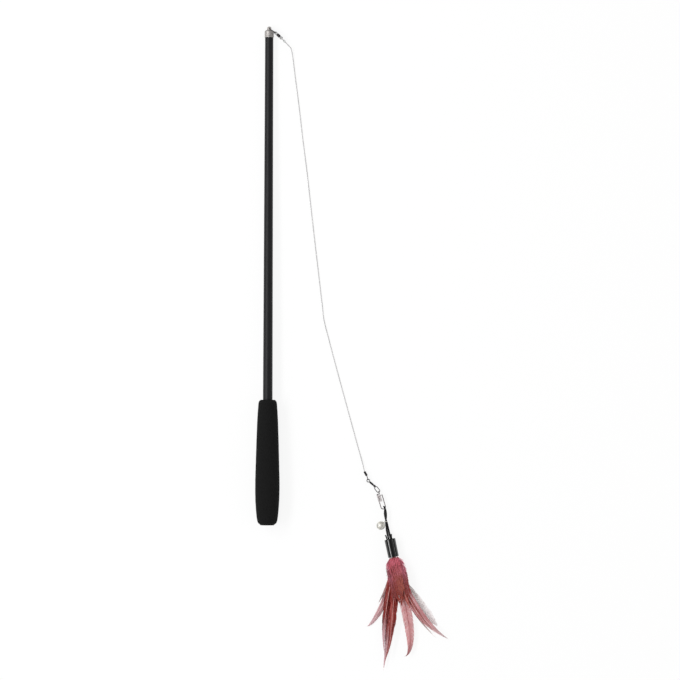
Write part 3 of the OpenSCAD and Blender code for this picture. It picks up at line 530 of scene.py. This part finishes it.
def new_piece(name, vertices, faces, material, smooth=True):
    mesh = bpy.data.meshes.new(name)
    mesh.from_pydata([tuple(v) for v in vertices], [], faces)
    mesh.polygons.foreach_set("use_smooth", [smooth] * len(mesh.polygons))
    mesh.materials.append(material)
    mesh.update()
    return linked(name, mesh)


def seat(piece, body, slot, *nodes):
    """The piece rides on a body and stands for CAD nodes, which it hides. The slot is not used.
    """
    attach(piece, body)
    if nodes:
        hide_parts(*nodes)
    return piece


def dress(material, *nodes):
    """Gives CAD nodes a material."""
    for node in nodes:
        mesh = frame["nodes"][node].data
        mesh.materials.clear()
        mesh.materials.append(material)


def finish(group, metal):
    """Gives a group of CAD pieces their finishes."""
    make_groups()
    for name, colour, second, roughness, values, nodes in FINISHES[group]:
        dress(grained(name, getattr(metal, colour, colour), second, roughness, **values), *nodes)


def twisted_cord(name, path, diameter, plies, lay, material, plump=None):
    """A laid cord as one closed tube: its plies show as lobes that turn along the path. plump
    holds the cord's thickness at each point, as a share of its diameter."""
    frames, last, sides = [], None, CORD_SIDES
    for i, point in enumerate(path):
        way = unit(path[min(i + 1, len(path) - 1)] - path[max(i - 1, 0)])
        base = last if last is not None else Vector((0.3, 0.2, 1.0))
        last = unit(base - base.dot(way) * way)
        frames.append((point, way, last))
    vertices, along = [], 0.0
    for i, (point, way, across) in enumerate(frames):
        if i:
            along += (point - frames[i - 1][0]).length
        other = way.cross(across)
        for k in range(sides):
            turn = 2 * math.pi * k / sides
            lobe = abs(math.cos(plies * (turn - 2 * math.pi * along / lay) / 2))
            lobe = LOBE_FLOOR + LOBE_DEPTH * lobe ** LOBE_SHAPE
            radius = diameter / 2 * lobe * (plump[i] if plump else 1)
            spot = point + radius * (math.cos(turn) * across + math.sin(turn) * other)
            spot.z = max(spot.z, 0.05 * MM)
            vertices.append(spot)
    rings = len(path)
    faces = [(i * sides + k, i * sides + (k + 1) % sides, (i + 1) * sides + (k + 1) % sides,
              (i + 1) * sides + k) for i in range(rings - 1) for k in range(sides)]
    faces.append(tuple(reversed(range(sides))))
    faces.append(tuple((rings - 1) * sides + k for k in range(sides)))
    return new_piece(name, vertices, faces, material)


# Stage

def camera(width, distance):
    data = bpy.data.cameras.new("Camera")
    data.sensor_width = 36.0
    data.lens = data.sensor_width * distance / width
    data.clip_end = 20.0
    holder = linked("Camera", data)
    holder.location = (*CAMERA_AT, distance)
    holder.rotation_euler = (0.0, 0.0, CAMERA_ROLL)
    bpy.context.scene.camera = holder


def lamp(name, azimuth, tilt, distance, size, power):
    """A soft lamp over the wand: tilt from straight up, towards an azimuth."""
    data = bpy.data.lights.new(name, "AREA")
    data.shape = "RECTANGLE"
    data.size, data.size_y = size
    data.energy = power
    holder = linked(name, data)
    a, t = math.radians(azimuth), math.radians(tilt)
    away = Vector((math.sin(t) * math.cos(a), math.sin(t) * math.sin(a), math.cos(t)))
    holder.location = distance * away
    holder.rotation_euler = away.to_track_quat("Z", "Y").to_euler()
    holder.visible_camera = False


def seen_rays(tree):
    """1 for rays that show the surroundings: to the camera, in gloss and through glass."""
    path = tree.nodes.new("ShaderNodeLightPath").outputs
    seen = maths(tree, "MAXIMUM", path["Is Camera Ray"], path["Is Glossy Ray"])
    return path["Is Camera Ray"], maths(tree, "MAXIMUM", seen, path["Is Transmission Ray"])


def studio_world(fill):
    world = bpy.data.worlds.new("Studio")
    world.use_nodes = True
    tree = world.node_tree
    tree.nodes.clear()
    to_camera, seen = seen_rays(tree)
    direction = wire(tree, "TexCoord", out="Generated")
    height = wire(tree, "SeparateXYZ", (direction,), out="Z")
    bands = tree.nodes.new("ShaderNodeValToRGB")
    give(tree, bands, Fac=height)
    while len(bands.color_ramp.elements) < len(SKY_BANDS):
        bands.color_ramp.elements.new(0.5)
    for element, (at, level) in zip(bands.color_ramp.elements, SKY_BANDS):
        element.position = at
        element.color = (level, level, level, 1.0)
    leftward = ramp(tree, wire(tree, "SeparateXYZ", (direction,), out="X"), -0.9, 0.9,
                    SKY_LEFT, SKY_RIGHT)
    sideways = wire(tree, "CombineXYZ", (leftward, leftward, leftward))
    soft_boxes = vectors(tree, "MULTIPLY", bands.outputs["Color"], sideways)
    shown = mixed(tree, to_camera, soft_boxes, WHITE)
    plain = wire(tree, "Background", {"Color": WHITE, "Strength": fill})
    show = wire(tree, "Background", {"Color": shown, "Strength": 1.0})
    surface(tree, "World", seen, plain, show)
    bpy.context.scene.world = world


def floor():
    material = bpy.data.materials.new("Pale floor")
    material.use_nodes = True
    tree = material.node_tree
    tree.nodes.clear()
    seen = seen_rays(tree)[1]
    matt = wire(tree, "BsdfDiffuse", {"Color": (0.9, 0.9, 0.9)})
    glow = wire(tree, "Emission", {"Color": WHITE, "Strength": 1.0})
    surface(tree, "Material", maths(tree, "MULTIPLY", seen, FLOOR_GLOW), matt, glow)
    corners = [(x * FLOOR_HALF, y * FLOOR_HALF, FLOOR_LEVEL)
               for x, y in ((-1, -1), (1, -1), (1, 1), (-1, 1))]
    new_piece("floor", corners, [(0, 1, 2, 3)], material)


# Feathers

def settle(reach):
    t = min(1.0, max(0.0, reach) / LAYER_RISE)
    return t * t * (3 - 2 * t)


def layer_height(layer, reach):
    mouth_low = FERRULE_HEIGHT - LAYER_MOUTH * (len(FEATHERS) - 1) / 2
    floor_low = 0.6 * LAYER_SPREAD
    t = settle(reach)
    return (mouth_low + (floor_low - mouth_low) * t
            + layer * (LAYER_MOUTH + (LAYER_SPREAD - LAYER_MOUTH) * t))


def vane_half(u, width, opening, square):
    if not 0 < u < 1:
        return 0.0
    return width * PLUME_WIDTH / 2 * math.sin(math.pi * u ** opening) ** square


def spine(layer, feather, lead, fan=None):
    """Points of a feather's shaft, and the half width that the barbs of each reach. lead is
    how far ahead of its root a barb ends, as a multiple of that half width; fan is the
    shaft's place in a tuft."""
    tip_along, tip_across, start, end, pull, width, opening, kind = feather[1:9]
    kind = KINDS[kind]
    root = Vector((0, 0))
    tip = PLUME_LENGTH * Vector((tip_along, tip_across))
    if fan is not None:
        root.y = LEAN_ASIDE * start + TUFT_ASIDE * fan
        tip = Vector((tip.x * (1 - TUFT_SHORT * abs(fan)), tip.y + TUFT_PART * fan))
        start += TUFT_TURN * fan
    reach = (tip - root).length
    a, b = math.radians(start), math.radians(end)
    leave = reach * Vector((math.cos(a), math.sin(a)))
    arrive = pull * reach * Vector((math.cos(b), math.sin(b)))
    points, halves = [], []
    for back in (1.0, 0.5):
        points.append(on_lure(FERRULE_TO - back * QUILL_LENGTH, (1 - back) * root.y,
                              layer_height(layer, 0)))
        halves.append(0.0)
    for k in range(SHAFT_STEPS + 1):
        u = k / SHAFT_STEPS
        at = hermite(root, tip, leave, arrive, u)
        points.append(on_lure(FERRULE_TO + at.x, at.y, layer_height(layer, at.length)))
        half, far = vane_half(u, width, opening, kind["square"]), u
        for _ in range(6):
            far = min(1.0, u + lead * half / reach)
            half = vane_half(far, width, opening, kind["square"])
        halves.append(MM * half * kind["fill"] * (1 - far ** 4) ** kind["taper"])
    return points, halves


def feather_tree():
    """Geometry Nodes: barbs on both sides of a shaft, drawn from the shaft's own points."""
    tree, given, result = new_group(
        "Feather",
        [("Geometry", "Geometry", None), ("Barb pitch", "Float", 0.0003),
         ("Barb steps", "Int", 7), ("Barb width", "Float", 0.0003),
         ("Barb thickness", "Float", 0.00006), ("Lead", "Float", 1.3),
         ("Locks", "Float", 24.0), ("Split", "Float", 0.4), ("Scatter", "Float", 0.2),
         ("Fluff", "Float", 0.0), ("Crown", "Float", 0.1), ("Lift", "Float", 0.0004),
         ("Quill width", "Float", 0.0007), ("Lowest", "Float", 0.0002), ("Seed", "Int", 1),
         ("Material", "Material", None)],
        [("Geometry", "Geometry")], "GeometryNodeTree")

    times, plus, less = sums(tree)
    fluff, scatter = given["Fluff"], given["Scatter"]

    def geo(kind, inputs=(), **settings):
        return wire(tree, kind, inputs, family="GeometryNode", **settings)

    def store(geometry, name, value, form="FLOAT"):
        return geo("StoreNamedAttribute", {"Geometry": geometry, "Name": name, "Value": value},
                   data_type=form, domain="POINT")

    def read(name, form="FLOAT"):
        return geo("InputNamedAttribute", {"Name": name}, data_type=form)

    def chance(seed_shift, identity=None):
        seed = plus(given["Seed"], float(seed_shift))
        return wire(tree, "RandomValue", {2: 0.0, 3: 1.0, "ID": identity, "Seed": seed}, out=1,
                    family="FunctionNode")

    shaft = geo("MeshToCurve", {"Mesh": given["Geometry"]})
    shaft = store(shaft, "along", geo("SplineParameter"))
    roots = geo("ResampleCurve", {"Curve": shaft, "Length": given["Barb pitch"]},
                mode="LENGTH")
    roots = store(roots, "root", geo("InputPosition"), "FLOAT_VECTOR")
    roots = store(roots, "way", geo("InputTangent"), "FLOAT_VECTOR")
    double = tree.nodes.new("GeometryNodeDuplicateElements")
    double.domain = "POINT"
    give(tree, double, Geometry=roots)
    double.inputs["Amount"].default_value = 2
    side = plus(times(double.outputs["Duplicate Index"], 2.0), -1.0)
    pairs = store(double.outputs["Geometry"], "side", side)
    place = maths(tree, "FLOOR", plus(times(read("along"), given["Locks"]),
                                      times(read("side"), 400.3)))
    pairs = store(pairs, "lot", chance(0, place))
    pairs = store(pairs, "strand", chance(50))
    pairs = store(pairs, "twin", chance(90))

    thread = geo("CurvePrimitiveLine")
    thread = geo("ResampleCurve", {"Curve": thread, "Count": given["Barb steps"]},
                 mode="COUNT")
    thread = store(thread, "out", geo("SplineParameter"))
    wide = maths(tree, "GREATER_THAN", read("half"), 0.00015)
    barbs = geo("InstanceOnPoints", {"Points": pairs, "Selection": wide, "Instance": thread})
    barbs = geo("RealizeInstances", {"Geometry": barbs})

    out, half, lot = read("out"), read("half"), read("lot")
    strand, twin, sign = read("strand"), read("twin"), read("side")
    way = read("way", "FLOAT_VECTOR")
    stray = less(strand, 0.5)
    bias = less(lot, 0.5)
    loose = less(twin, 0.5)
    straight = times(fluff, 0.5)
    bow = less(0.6, straight)
    lateral = times(half, out, plus(1.0, times(bow, less(1.0, out))),
                    plus(1.0, plus(times(stray, scatter), times(loose, fluff, 0.5))))
    early = plus(0.42, times(fluff, 0.4))
    late = less(1.0, early)
    ahead = times(half, given["Lead"], plus(times(out, early), times(out, out, late)))
    sweep = plus(1.0, plus(times(bias, given["Split"], out), times(stray, scatter, out)))
    ahead = times(ahead, sweep, plus(1.0, times(fluff, -FLUFF_LEAD)))
    root = read("root", "FLOAT_VECTOR")
    spread = wire(tree, "CombineXYZ",
                  (times(out, 0.004), times(lot, 0.1), times(given["Seed"], 0.37)))
    wave = speckle(tree, vectors(tree, "ADD", root, spread), 160.0, 2.0)
    rise = times(plus(wave, -0.5), out, given["Lift"], 2.0)
    rise = plus(rise, times(half, given["Crown"], out, out, -1.0))
    rise = plus(rise, times(loose, fluff, half, out, 0.7))
    turned = vectors(tree, "CROSS_PRODUCT", (0.0, 0.0, 1.0), way)
    turned = scaled(tree, turned, times(sign, lateral))
    shift = vectors(tree, "ADD", turned, scaled(tree, way, ahead))
    shift = vectors(tree, "ADD", shift, wire(tree, "CombineXYZ", {"Z": rise}))
    at = vectors(tree, "ADD", root, shift)
    floor_level = wire(tree, "CombineXYZ", {0: -9.0, 1: -9.0, 2: given["Lowest"]})
    at = vectors(tree, "MAXIMUM", at, floor_level)
    barbs = geo("SetPosition", {"Geometry": barbs, "Position": at})
    barbs = geo("SetCurveNormal", {"Curve": barbs}, mode="Z_UP")
    blade = geo("CurvePrimitiveQuadrilateral", {"Width": given["Barb width"],
                                                "Height": given["Barb thickness"]},
                mode="RECTANGLE")
    thin = less(1.0, times(out, out, 0.5))
    barbs = geo("CurveToMesh", {"Curve": barbs, "Profile Curve": blade, "Scale": thin,
                                "Fill Caps": True})

    quill = geo("ResampleCurve", {"Curve": shaft, "Count": 60}, mode="COUNT")
    ring = geo("CurvePrimitiveCircle",
               {"Resolution": 8, "Radius": times(given["Quill width"], 0.5)}, mode="RADIUS")
    taper = less(1.0, times(read("along"), 0.88))
    quill = geo("CurveToMesh", {"Curve": quill, "Profile Curve": ring, "Scale": taper,
                                "Fill Caps": True})
    quill = store(quill, "quill", 1.0)

    join = tree.nodes.new("GeometryNodeJoinGeometry")
    tree.links.new(barbs, join.inputs[0])
    tree.links.new(quill, join.inputs[0])
    whole = geo("RealizeInstances", {"Geometry": join.outputs[0]})
    whole = geo("SetMaterial", {"Geometry": whole, "Material": given["Material"]})
    give(tree, result, Geometry=whole)
    return tree


def grow(name, shafts, tree, values):
    """Runs the feather tree on its shafts and gives the result as a plain mesh object."""
    points, halves, edges = [], [], []
    for own_points, own_halves in shafts:
        first = len(points)
        points += own_points
        halves += own_halves
        edges += [(i, i + 1) for i in range(first, len(points) - 1)]
    mesh = bpy.data.meshes.new(name)
    mesh.from_pydata([tuple(p) for p in points], edges, [])
    mesh.attributes.new("half", "FLOAT", "POINT").data.foreach_set("value", halves)
    piece = linked(name, mesh)
    modifier = piece.modifiers.new("Feather", "NODES")
    modifier.node_group = tree
    for item in tree.interface.items_tree:
        if item.in_out == "INPUT" and item.name in values:
            modifier[item.identifier] = values[item.name]
    bpy.context.view_layer.update()
    graph = bpy.context.evaluated_depsgraph_get()
    final = bpy.data.meshes.new_from_object(piece.evaluated_get(graph))
    piece.modifiers.clear()
    piece.data = final
    bpy.data.meshes.remove(mesh)
    final.name = name
    return piece


# Settings that a user would change

def length_setting(name, description, default, **more):
    return FloatProperty(name=name, description=description, default=default, precision=6,
                         unit="LENGTH", **more)


def colour_setting(name, description, code):
    return FloatVectorProperty(name=name, description=description, subtype="COLOR",
                               default=linear(code), size=3, min=0.0, max=1.0)


def power_setting(name, description, default):
    return FloatProperty(name=name, description=description, default=default, min=0.0,
                         unit="POWER")


class StageSettings(bpy.types.PropertyGroup):
    frame_width: length_setting(
        "Frame width", "Width of the surface that the camera takes in", 0.544, min=0.05)
    camera_distance: length_setting(
        "Camera distance", "Height of the camera over the surface", 3.0, min=0.5)
    fill: FloatProperty(name="Fill light", description="Strength of the light from all round",
                        default=0.7, min=0.0)
    key: power_setting("Key lamp", "Power of the lamp on the left", 11.0)
    side: power_setting("Side lamp", "Power of the lamp on the right", 1.6)


class CordSettings(bpy.types.PropertyGroup):
    line_diameter: length_setting("Line diameter", "Diameter of the line", 0.0008)
    line_length: length_setting("Line length", "Length of the line from sleeve to crimp", 0.351)
    line_colour: colour_setting("Line colour", "Colour of the line", "bebcbd")
    cord_lay: length_setting("Cord lay", "Length of one turn of the lure cord's plies", 0.0042)
    cord_plies: IntProperty(
        name="Cord plies", description="How many plies the lure's cord has", default=3, min=2)


class GripSettings(bpy.types.PropertyGroup):
    length: length_setting("Grip length", "Length of the foam", 0.100)
    diameter: length_setting("Grip diameter", "Largest diameter of the foam", 0.0195)
    unevenness: length_setting(
        "Unevenness", "How far the foam's skin wanders in and out", 0.00005)
    colour: colour_setting("Foam colour", "Colour of the foam", "161616")


class MetalSettings(bpy.types.PropertyGroup):
    nickel: colour_setting("Bright nickel", "Colour of the snap's plating", "8c8484")
    cap: colour_setting("Tip cap", "Colour of the cap's metal", "b4b0ae")
    bell: colour_setting("Bell", "Colour of the bell's plating", "f2f0e9")


class FeatherSettings(bpy.types.PropertyGroup):
    barb_pitch: length_setting(
        "Barb pitch", "Distance between barbs along a shaft", 0.0003, min=0.00008)
    barb_width: length_setting("Barb width", "Width of one barb", 0.00028)
    barb_thickness: length_setting("Barb thickness", "Thickness of one barb", 0.00006)
    lead: FloatProperty(
        name="Lead", description="Share of each kind's own lead of barb tips over their roots",
        default=1.0, min=0.2)
    split: FloatProperty(
        name="Split", description="Share of each kind's own parting of its locks", default=1.0)
    seed: IntProperty(name="Seed", description="Changes every random choice", default=7)


SETTINGS = {"wand_stage": StageSettings, "wand_cords": CordSettings, "wand_grip": GripSettings,
            "wand_metal": MetalSettings, "wand_feathers": FeatherSettings}


# Operators, in the order in which the wand is dressed

class WAND_OT_stage(bpy.types.Operator):
    """Set the camera, the soft lamps and the pale floor"""
    bl_idname = "wand.stage"
    bl_label = "Stage"

    def execute(self, context):
        stage = context.scene.wand_stage
        camera(stage.frame_width, stage.camera_distance)
        context.scene.view_settings.view_transform = "Standard"
        studio_world(stage.fill)
        lamp("Key lamp", *KEY_LAMP, stage.key)
        lamp("Side lamp", *SIDE_LAMP, stage.side)
        floor()
        return {"FINISHED"}


class WAND_OT_line(bpy.types.Operator):
    """Make the line between the upper swivel and the lower one"""
    bl_idname = "wand.line"
    bl_label = "Line"

    def execute(self, context):
        cords = context.scene.wand_cords
        make_groups()
        material = grained("Grey line", cords.line_colour, "acabac", 0.35, spread=0.2,
                           amount=0.7, broad=90.0, fine=4000.0, relief=0, Coat_Weight=0.3)
        path = [MM * p for p in route(LINE_ROUTE, 2.2)]
        data = bpy.data.curves.new("line_cord", "CURVE")
        data.dimensions = "3D"
        data.bevel_depth = cords.line_diameter / 2
        data.bevel_resolution = 3
        data.use_fill_caps = True
        spline = data.splines.new("POLY")
        spline.points.add(len(path) - 1)
        for point, at in zip(spline.points, path):
            point.co = (*at, 1.0)
        spline.use_smooth = True
        data.materials.append(material)
        piece = linked("line_cord", data)
        seat(piece, "tether", "line_grey", "line")
        tuple(path[0])
        dress(material, "line_top_loop")
        return {"FINISHED"}


class WAND_OT_lure_cord(bpy.types.Operator):
    """Make the lure's doubled cord and its two cut ends"""
    bl_idname = "wand.lure_cord"
    bl_label = "Lure cord"

    def execute(self, context):
        cords = context.scene.wand_cords
        make_groups()
        material = grained("Black cord", "0d0c0d", "1b191a", 0.6, spread=0.3, amount=0.8,
                           broad=900.0, fine=5000.0, relief=0.04, Specular_IOR_Level=0.2)

        def tail(strand, along):
            across, height = STRAND_SHARES[strand]
            return (along, across * CORD, FERRULE_HEIGHT + height * CORD)

        inside = FERRULE_FROM + 0.36 * FERRULE_LENGTH
        bend = [(-BEND_RADIUS * math.cos(a) * math.cos(BEND_TWIST),
                 BEND_SIDE - BEND_RADIUS * math.cos(a) * math.sin(BEND_TWIST),
                 BEND_HEIGHT + BEND_RADIUS * math.sin(a))
                for a in (math.radians(t) for t in range(90, -91, -30))]
        points = [tail(0, inside), tail(0, FERRULE_FROM), *reversed(UPPER_STRAND), *bend,
                  *LOWER_STRAND, tail(1, FERRULE_FROM), tail(1, inside)]
        course = route(points, CORD_PITCH)
        path = [on_lure(*p) for p in course]
        plump = [1 + PLUMP * min(1.0, max(0.0, (p.x - PLUMP_FROM) / PLUMP_OVER)) for p in course]
        piece = twisted_cord("lure_cord_laid", path, CORD * MM, cords.cord_plies,
                             cords.cord_lay, material, plump)
        seat(piece, "lure", "cord_black", "lure_cord")
        for i, (across, height) in enumerate(END_SHARES):
            lean = math.copysign(TAIL, across)
            root = Vector((FERRULE_FROM + CORD / 2, across * TAIL,
                           FERRULE_HEIGHT + height * TAIL))
            steps = [root, root + Vector((-TAIL, 0, 0)),
                     root + Vector((-2.4 * TAIL, 0.1 * lean, 0)),
                     root + Vector((-4.2 * TAIL, 0.4 * lean, 0))]
            short = [on_lure(*p) for p in route(steps, TAIL_PITCH)]
            end = twisted_cord(f"cord_end_{i + 1}", short, TAIL * MM, cords.cord_plies,
                               cords.cord_lay, material)
            seat(end, "lure", "cord_black", *(["cord_ends"] if i == 0 else []))
        return {"FINISHED"}


class WAND_OT_rod(bpy.types.Operator):
    """Finish the rod's sections, its plug and the tip's metal cap"""
    bl_idname = "wand.rod"
    bl_label = "Rod and cap"

    def execute(self, context):
        finish("rod", context.scene.wand_metal)
        return {"FINISHED"}


class WAND_OT_grip(bpy.types.Operator):
    """Make the foam grip with its uneven, finely pitted skin"""
    bl_idname = "wand.grip"
    bl_label = "Foam grip"

    def execute(self, context):
        grip = context.scene.wand_grip
        make_groups()
        material, tree, shader = new_material("Black foam", Specular_IOR_Level=0.12)
        cells = placed(tree, GROUPS["cells"])
        # The foam darkens towards 080808 in the pits of its cells: painted shade.
        tint = mixed(tree, cells["Dark"], tuple(grip.colour), linear("080808"))
        give(tree, shader, Base_Color=tint,
             Roughness=ramp(tree, cells["Height"], 0.2, 1.3, 0.7, 0.95))
        bumped(tree, shader, cells["Height"], 0.08 * MM)
        length, widest = grip.length / MM, grip.diameter / MM
        outline = [Vector((share * length, round_share * widest / 2, 0))
                   for share, round_share in GRIP_OUTLINE]
        outer = []
        for a, b in zip(outline, outline[1:]):
            steps = max(1, round((b - a).length / FOAM_PITCH))
            outer += [a.lerp(b, k / steps) for k in range(steps)]
        outer.append(outline[-1])
        stops = [length * (1 - k / BORE_STEPS) for k in range(BORE_STEPS + 1)]
        bore = [Vector((stop, rod_diameter(stop) / 2, 0)) for stop in stops]
        profile = [(p.x, p.y, 1.0) for p in outer] + [(p.x, p.y, 0.0) for p in bore]
        sides, vertices = FOAM_SIDES, []
        for along, radius, uneven in profile:
            for k in range(sides):
                turn = 2 * math.pi * k / sides
                side, up = math.cos(turn), math.sin(turn)
                spot = Vector((radius * side, along, radius * up))
                wander = noise.noise(spot * 0.35) + 0.5 * noise.noise(spot * 1.1)
                reach = radius + uneven * wander * grip.unevenness / MM
                vertices.append(on_wand(along, reach * side, reach * up))
        rings = len(profile)
        faces = [(i * sides + k, ((i + 1) % rings) * sides + k,
                  ((i + 1) % rings) * sides + (k + 1) % sides, i * sides + (k + 1) % sides)
                 for i in range(rings) for k in range(sides)]
        piece = new_piece("foam_sleeve", vertices, faces, material)
        seat(piece, "handle", "foam", "foam_grip")
        return {"FINISHED"}


class WAND_OT_metalwork(bpy.types.Operator):
    """Finish the ring, swivels, crimp, sleeve, snap and bell"""
    bl_idname = "wand.metalwork"
    bl_label = "Metalwork and bell"

    def execute(self, context):
        finish("metalwork", context.scene.wand_metal)
        # Painted shade inside the bell's hollow.
        paint_shade_inside(bpy.data.materials["Nickel bell"], "bell_top_shell", BELL_AT,
                      BELL_WIDTH / 2 - BELL_WALL / 2)
        return {"FINISHED"}


class WAND_OT_ferrule(bpy.types.Operator):
    """Finish the glossy shrunk tube that holds the feathers"""
    bl_idname = "wand.ferrule"
    bl_label = "Ferrule"

    def execute(self, context):
        finish("ferrule", context.scene.wand_metal)
        return {"FINISHED"}


class WAND_OT_feathers(bpy.types.Operator):
    """Grow every feather barb by barb from its shaft"""
    bl_idname = "wand.feathers"
    bl_label = "Feathers"

    def execute(self, context):
        vane = context.scene.wand_feathers
        make_groups()
        tree = feather_tree()
        slots = {s["node"]: s["material_slot"] for s in frame["record"]["subparts"]}
        for layer, feather in enumerate(FEATHERS):
            name, kind, colours = feather[0], KINDS[feather[8]], feather[9:]
            fluff, lead = kind["fluff"], kind["lead"] * vane.lead
            material, nodes, shader = new_material(
                "Dyed " + name.replace("_", " "), Specular_IOR_Level=0.12)
            root, body, tip = (linear(c) for c in colours)
            dye = placed(nodes, GROUPS["dye"], Root=root, Body=body, Tip=tip,
                         Quill=linear(kind["quill"]), Dark=linear(kind["dark"]),
                         Light=linear(kind["light"]), Dark_amount=kind["darker"],
                         Light_amount=kind["lighter"], Unevenness=kind["uneven"],
                         Tip_from=kind["tip_from"], Seed=7.7 * layer)
            give(nodes, shader, Base_Color=dye["Colour"], Roughness=dye["Roughness"])
            fans = TUFT if feather[8] == "down" else (None,)
            shafts = [spine(layer, feather, lead * (1 - FLUFF_LEAD * fluff), fan) for fan in fans]
            values = {
                "Barb pitch": vane.barb_pitch * (1 - 0.45 * fluff),
                "Barb width": vane.barb_width * (1 - 0.1 * fluff),
                "Barb thickness": vane.barb_thickness, "Lead": lead,
                "Locks": kind["locks"], "Split": kind["split"] * vane.split,
                "Scatter": kind["scatter"], "Fluff": fluff, "Crown": 0.1,
                "Lift": 0.0003 + 0.0006 * fluff, "Quill width": QUILL_WIDTH * MM,
                "Seed": vane.seed + 11 * layer, "Material": material}
            piece = grow(name + "_barbs", shafts, tree, values)
            seat(piece, "lure", slots[name], name)
        return {"FINISHED"}


OPERATORS = (WAND_OT_stage, WAND_OT_line, WAND_OT_lure_cord, WAND_OT_rod, WAND_OT_grip,
             WAND_OT_metalwork, WAND_OT_ferrule, WAND_OT_feathers)


class WAND_PT_panel(bpy.types.Panel):
    """Lists the steps that dress the wand, with their settings"""
    bl_idname = "WAND_PT_panel"
    bl_label = "Teaser wand"
    bl_space_type = "VIEW_3D"
    bl_region_type = "UI"
    bl_category = "Teaser wand"

    def draw(self, context):
        for name, group in SETTINGS.items():
            box = self.layout.box()
            for field in group.__annotations__:
                box.prop(getattr(context.scene, name), field)
        for operator in OPERATORS:
            self.layout.operator(operator.bl_idname)


CLASSES = (*SETTINGS.values(), *OPERATORS, WAND_PT_panel)


def register():
    for item in CLASSES:
        bpy.utils.register_class(item)
    for name, group in SETTINGS.items():
        setattr(bpy.types.Scene, name, PointerProperty(type=group))


def unregister():
    for name in SETTINGS:
        delattr(bpy.types.Scene, name)
    for item in reversed(CLASSES):
        bpy.utils.unregister_class(item)


def main():
    register()
    bpy.ops.wand.stage()
    bpy.ops.wand.line()
    bpy.ops.wand.lure_cord()
    bpy.ops.wand.rod()
    bpy.ops.wand.grip()
    bpy.ops.wand.metalwork()
    bpy.ops.wand.ferrule()
    bpy.ops.wand.feathers()


if __name__ == "__main__":
    main()
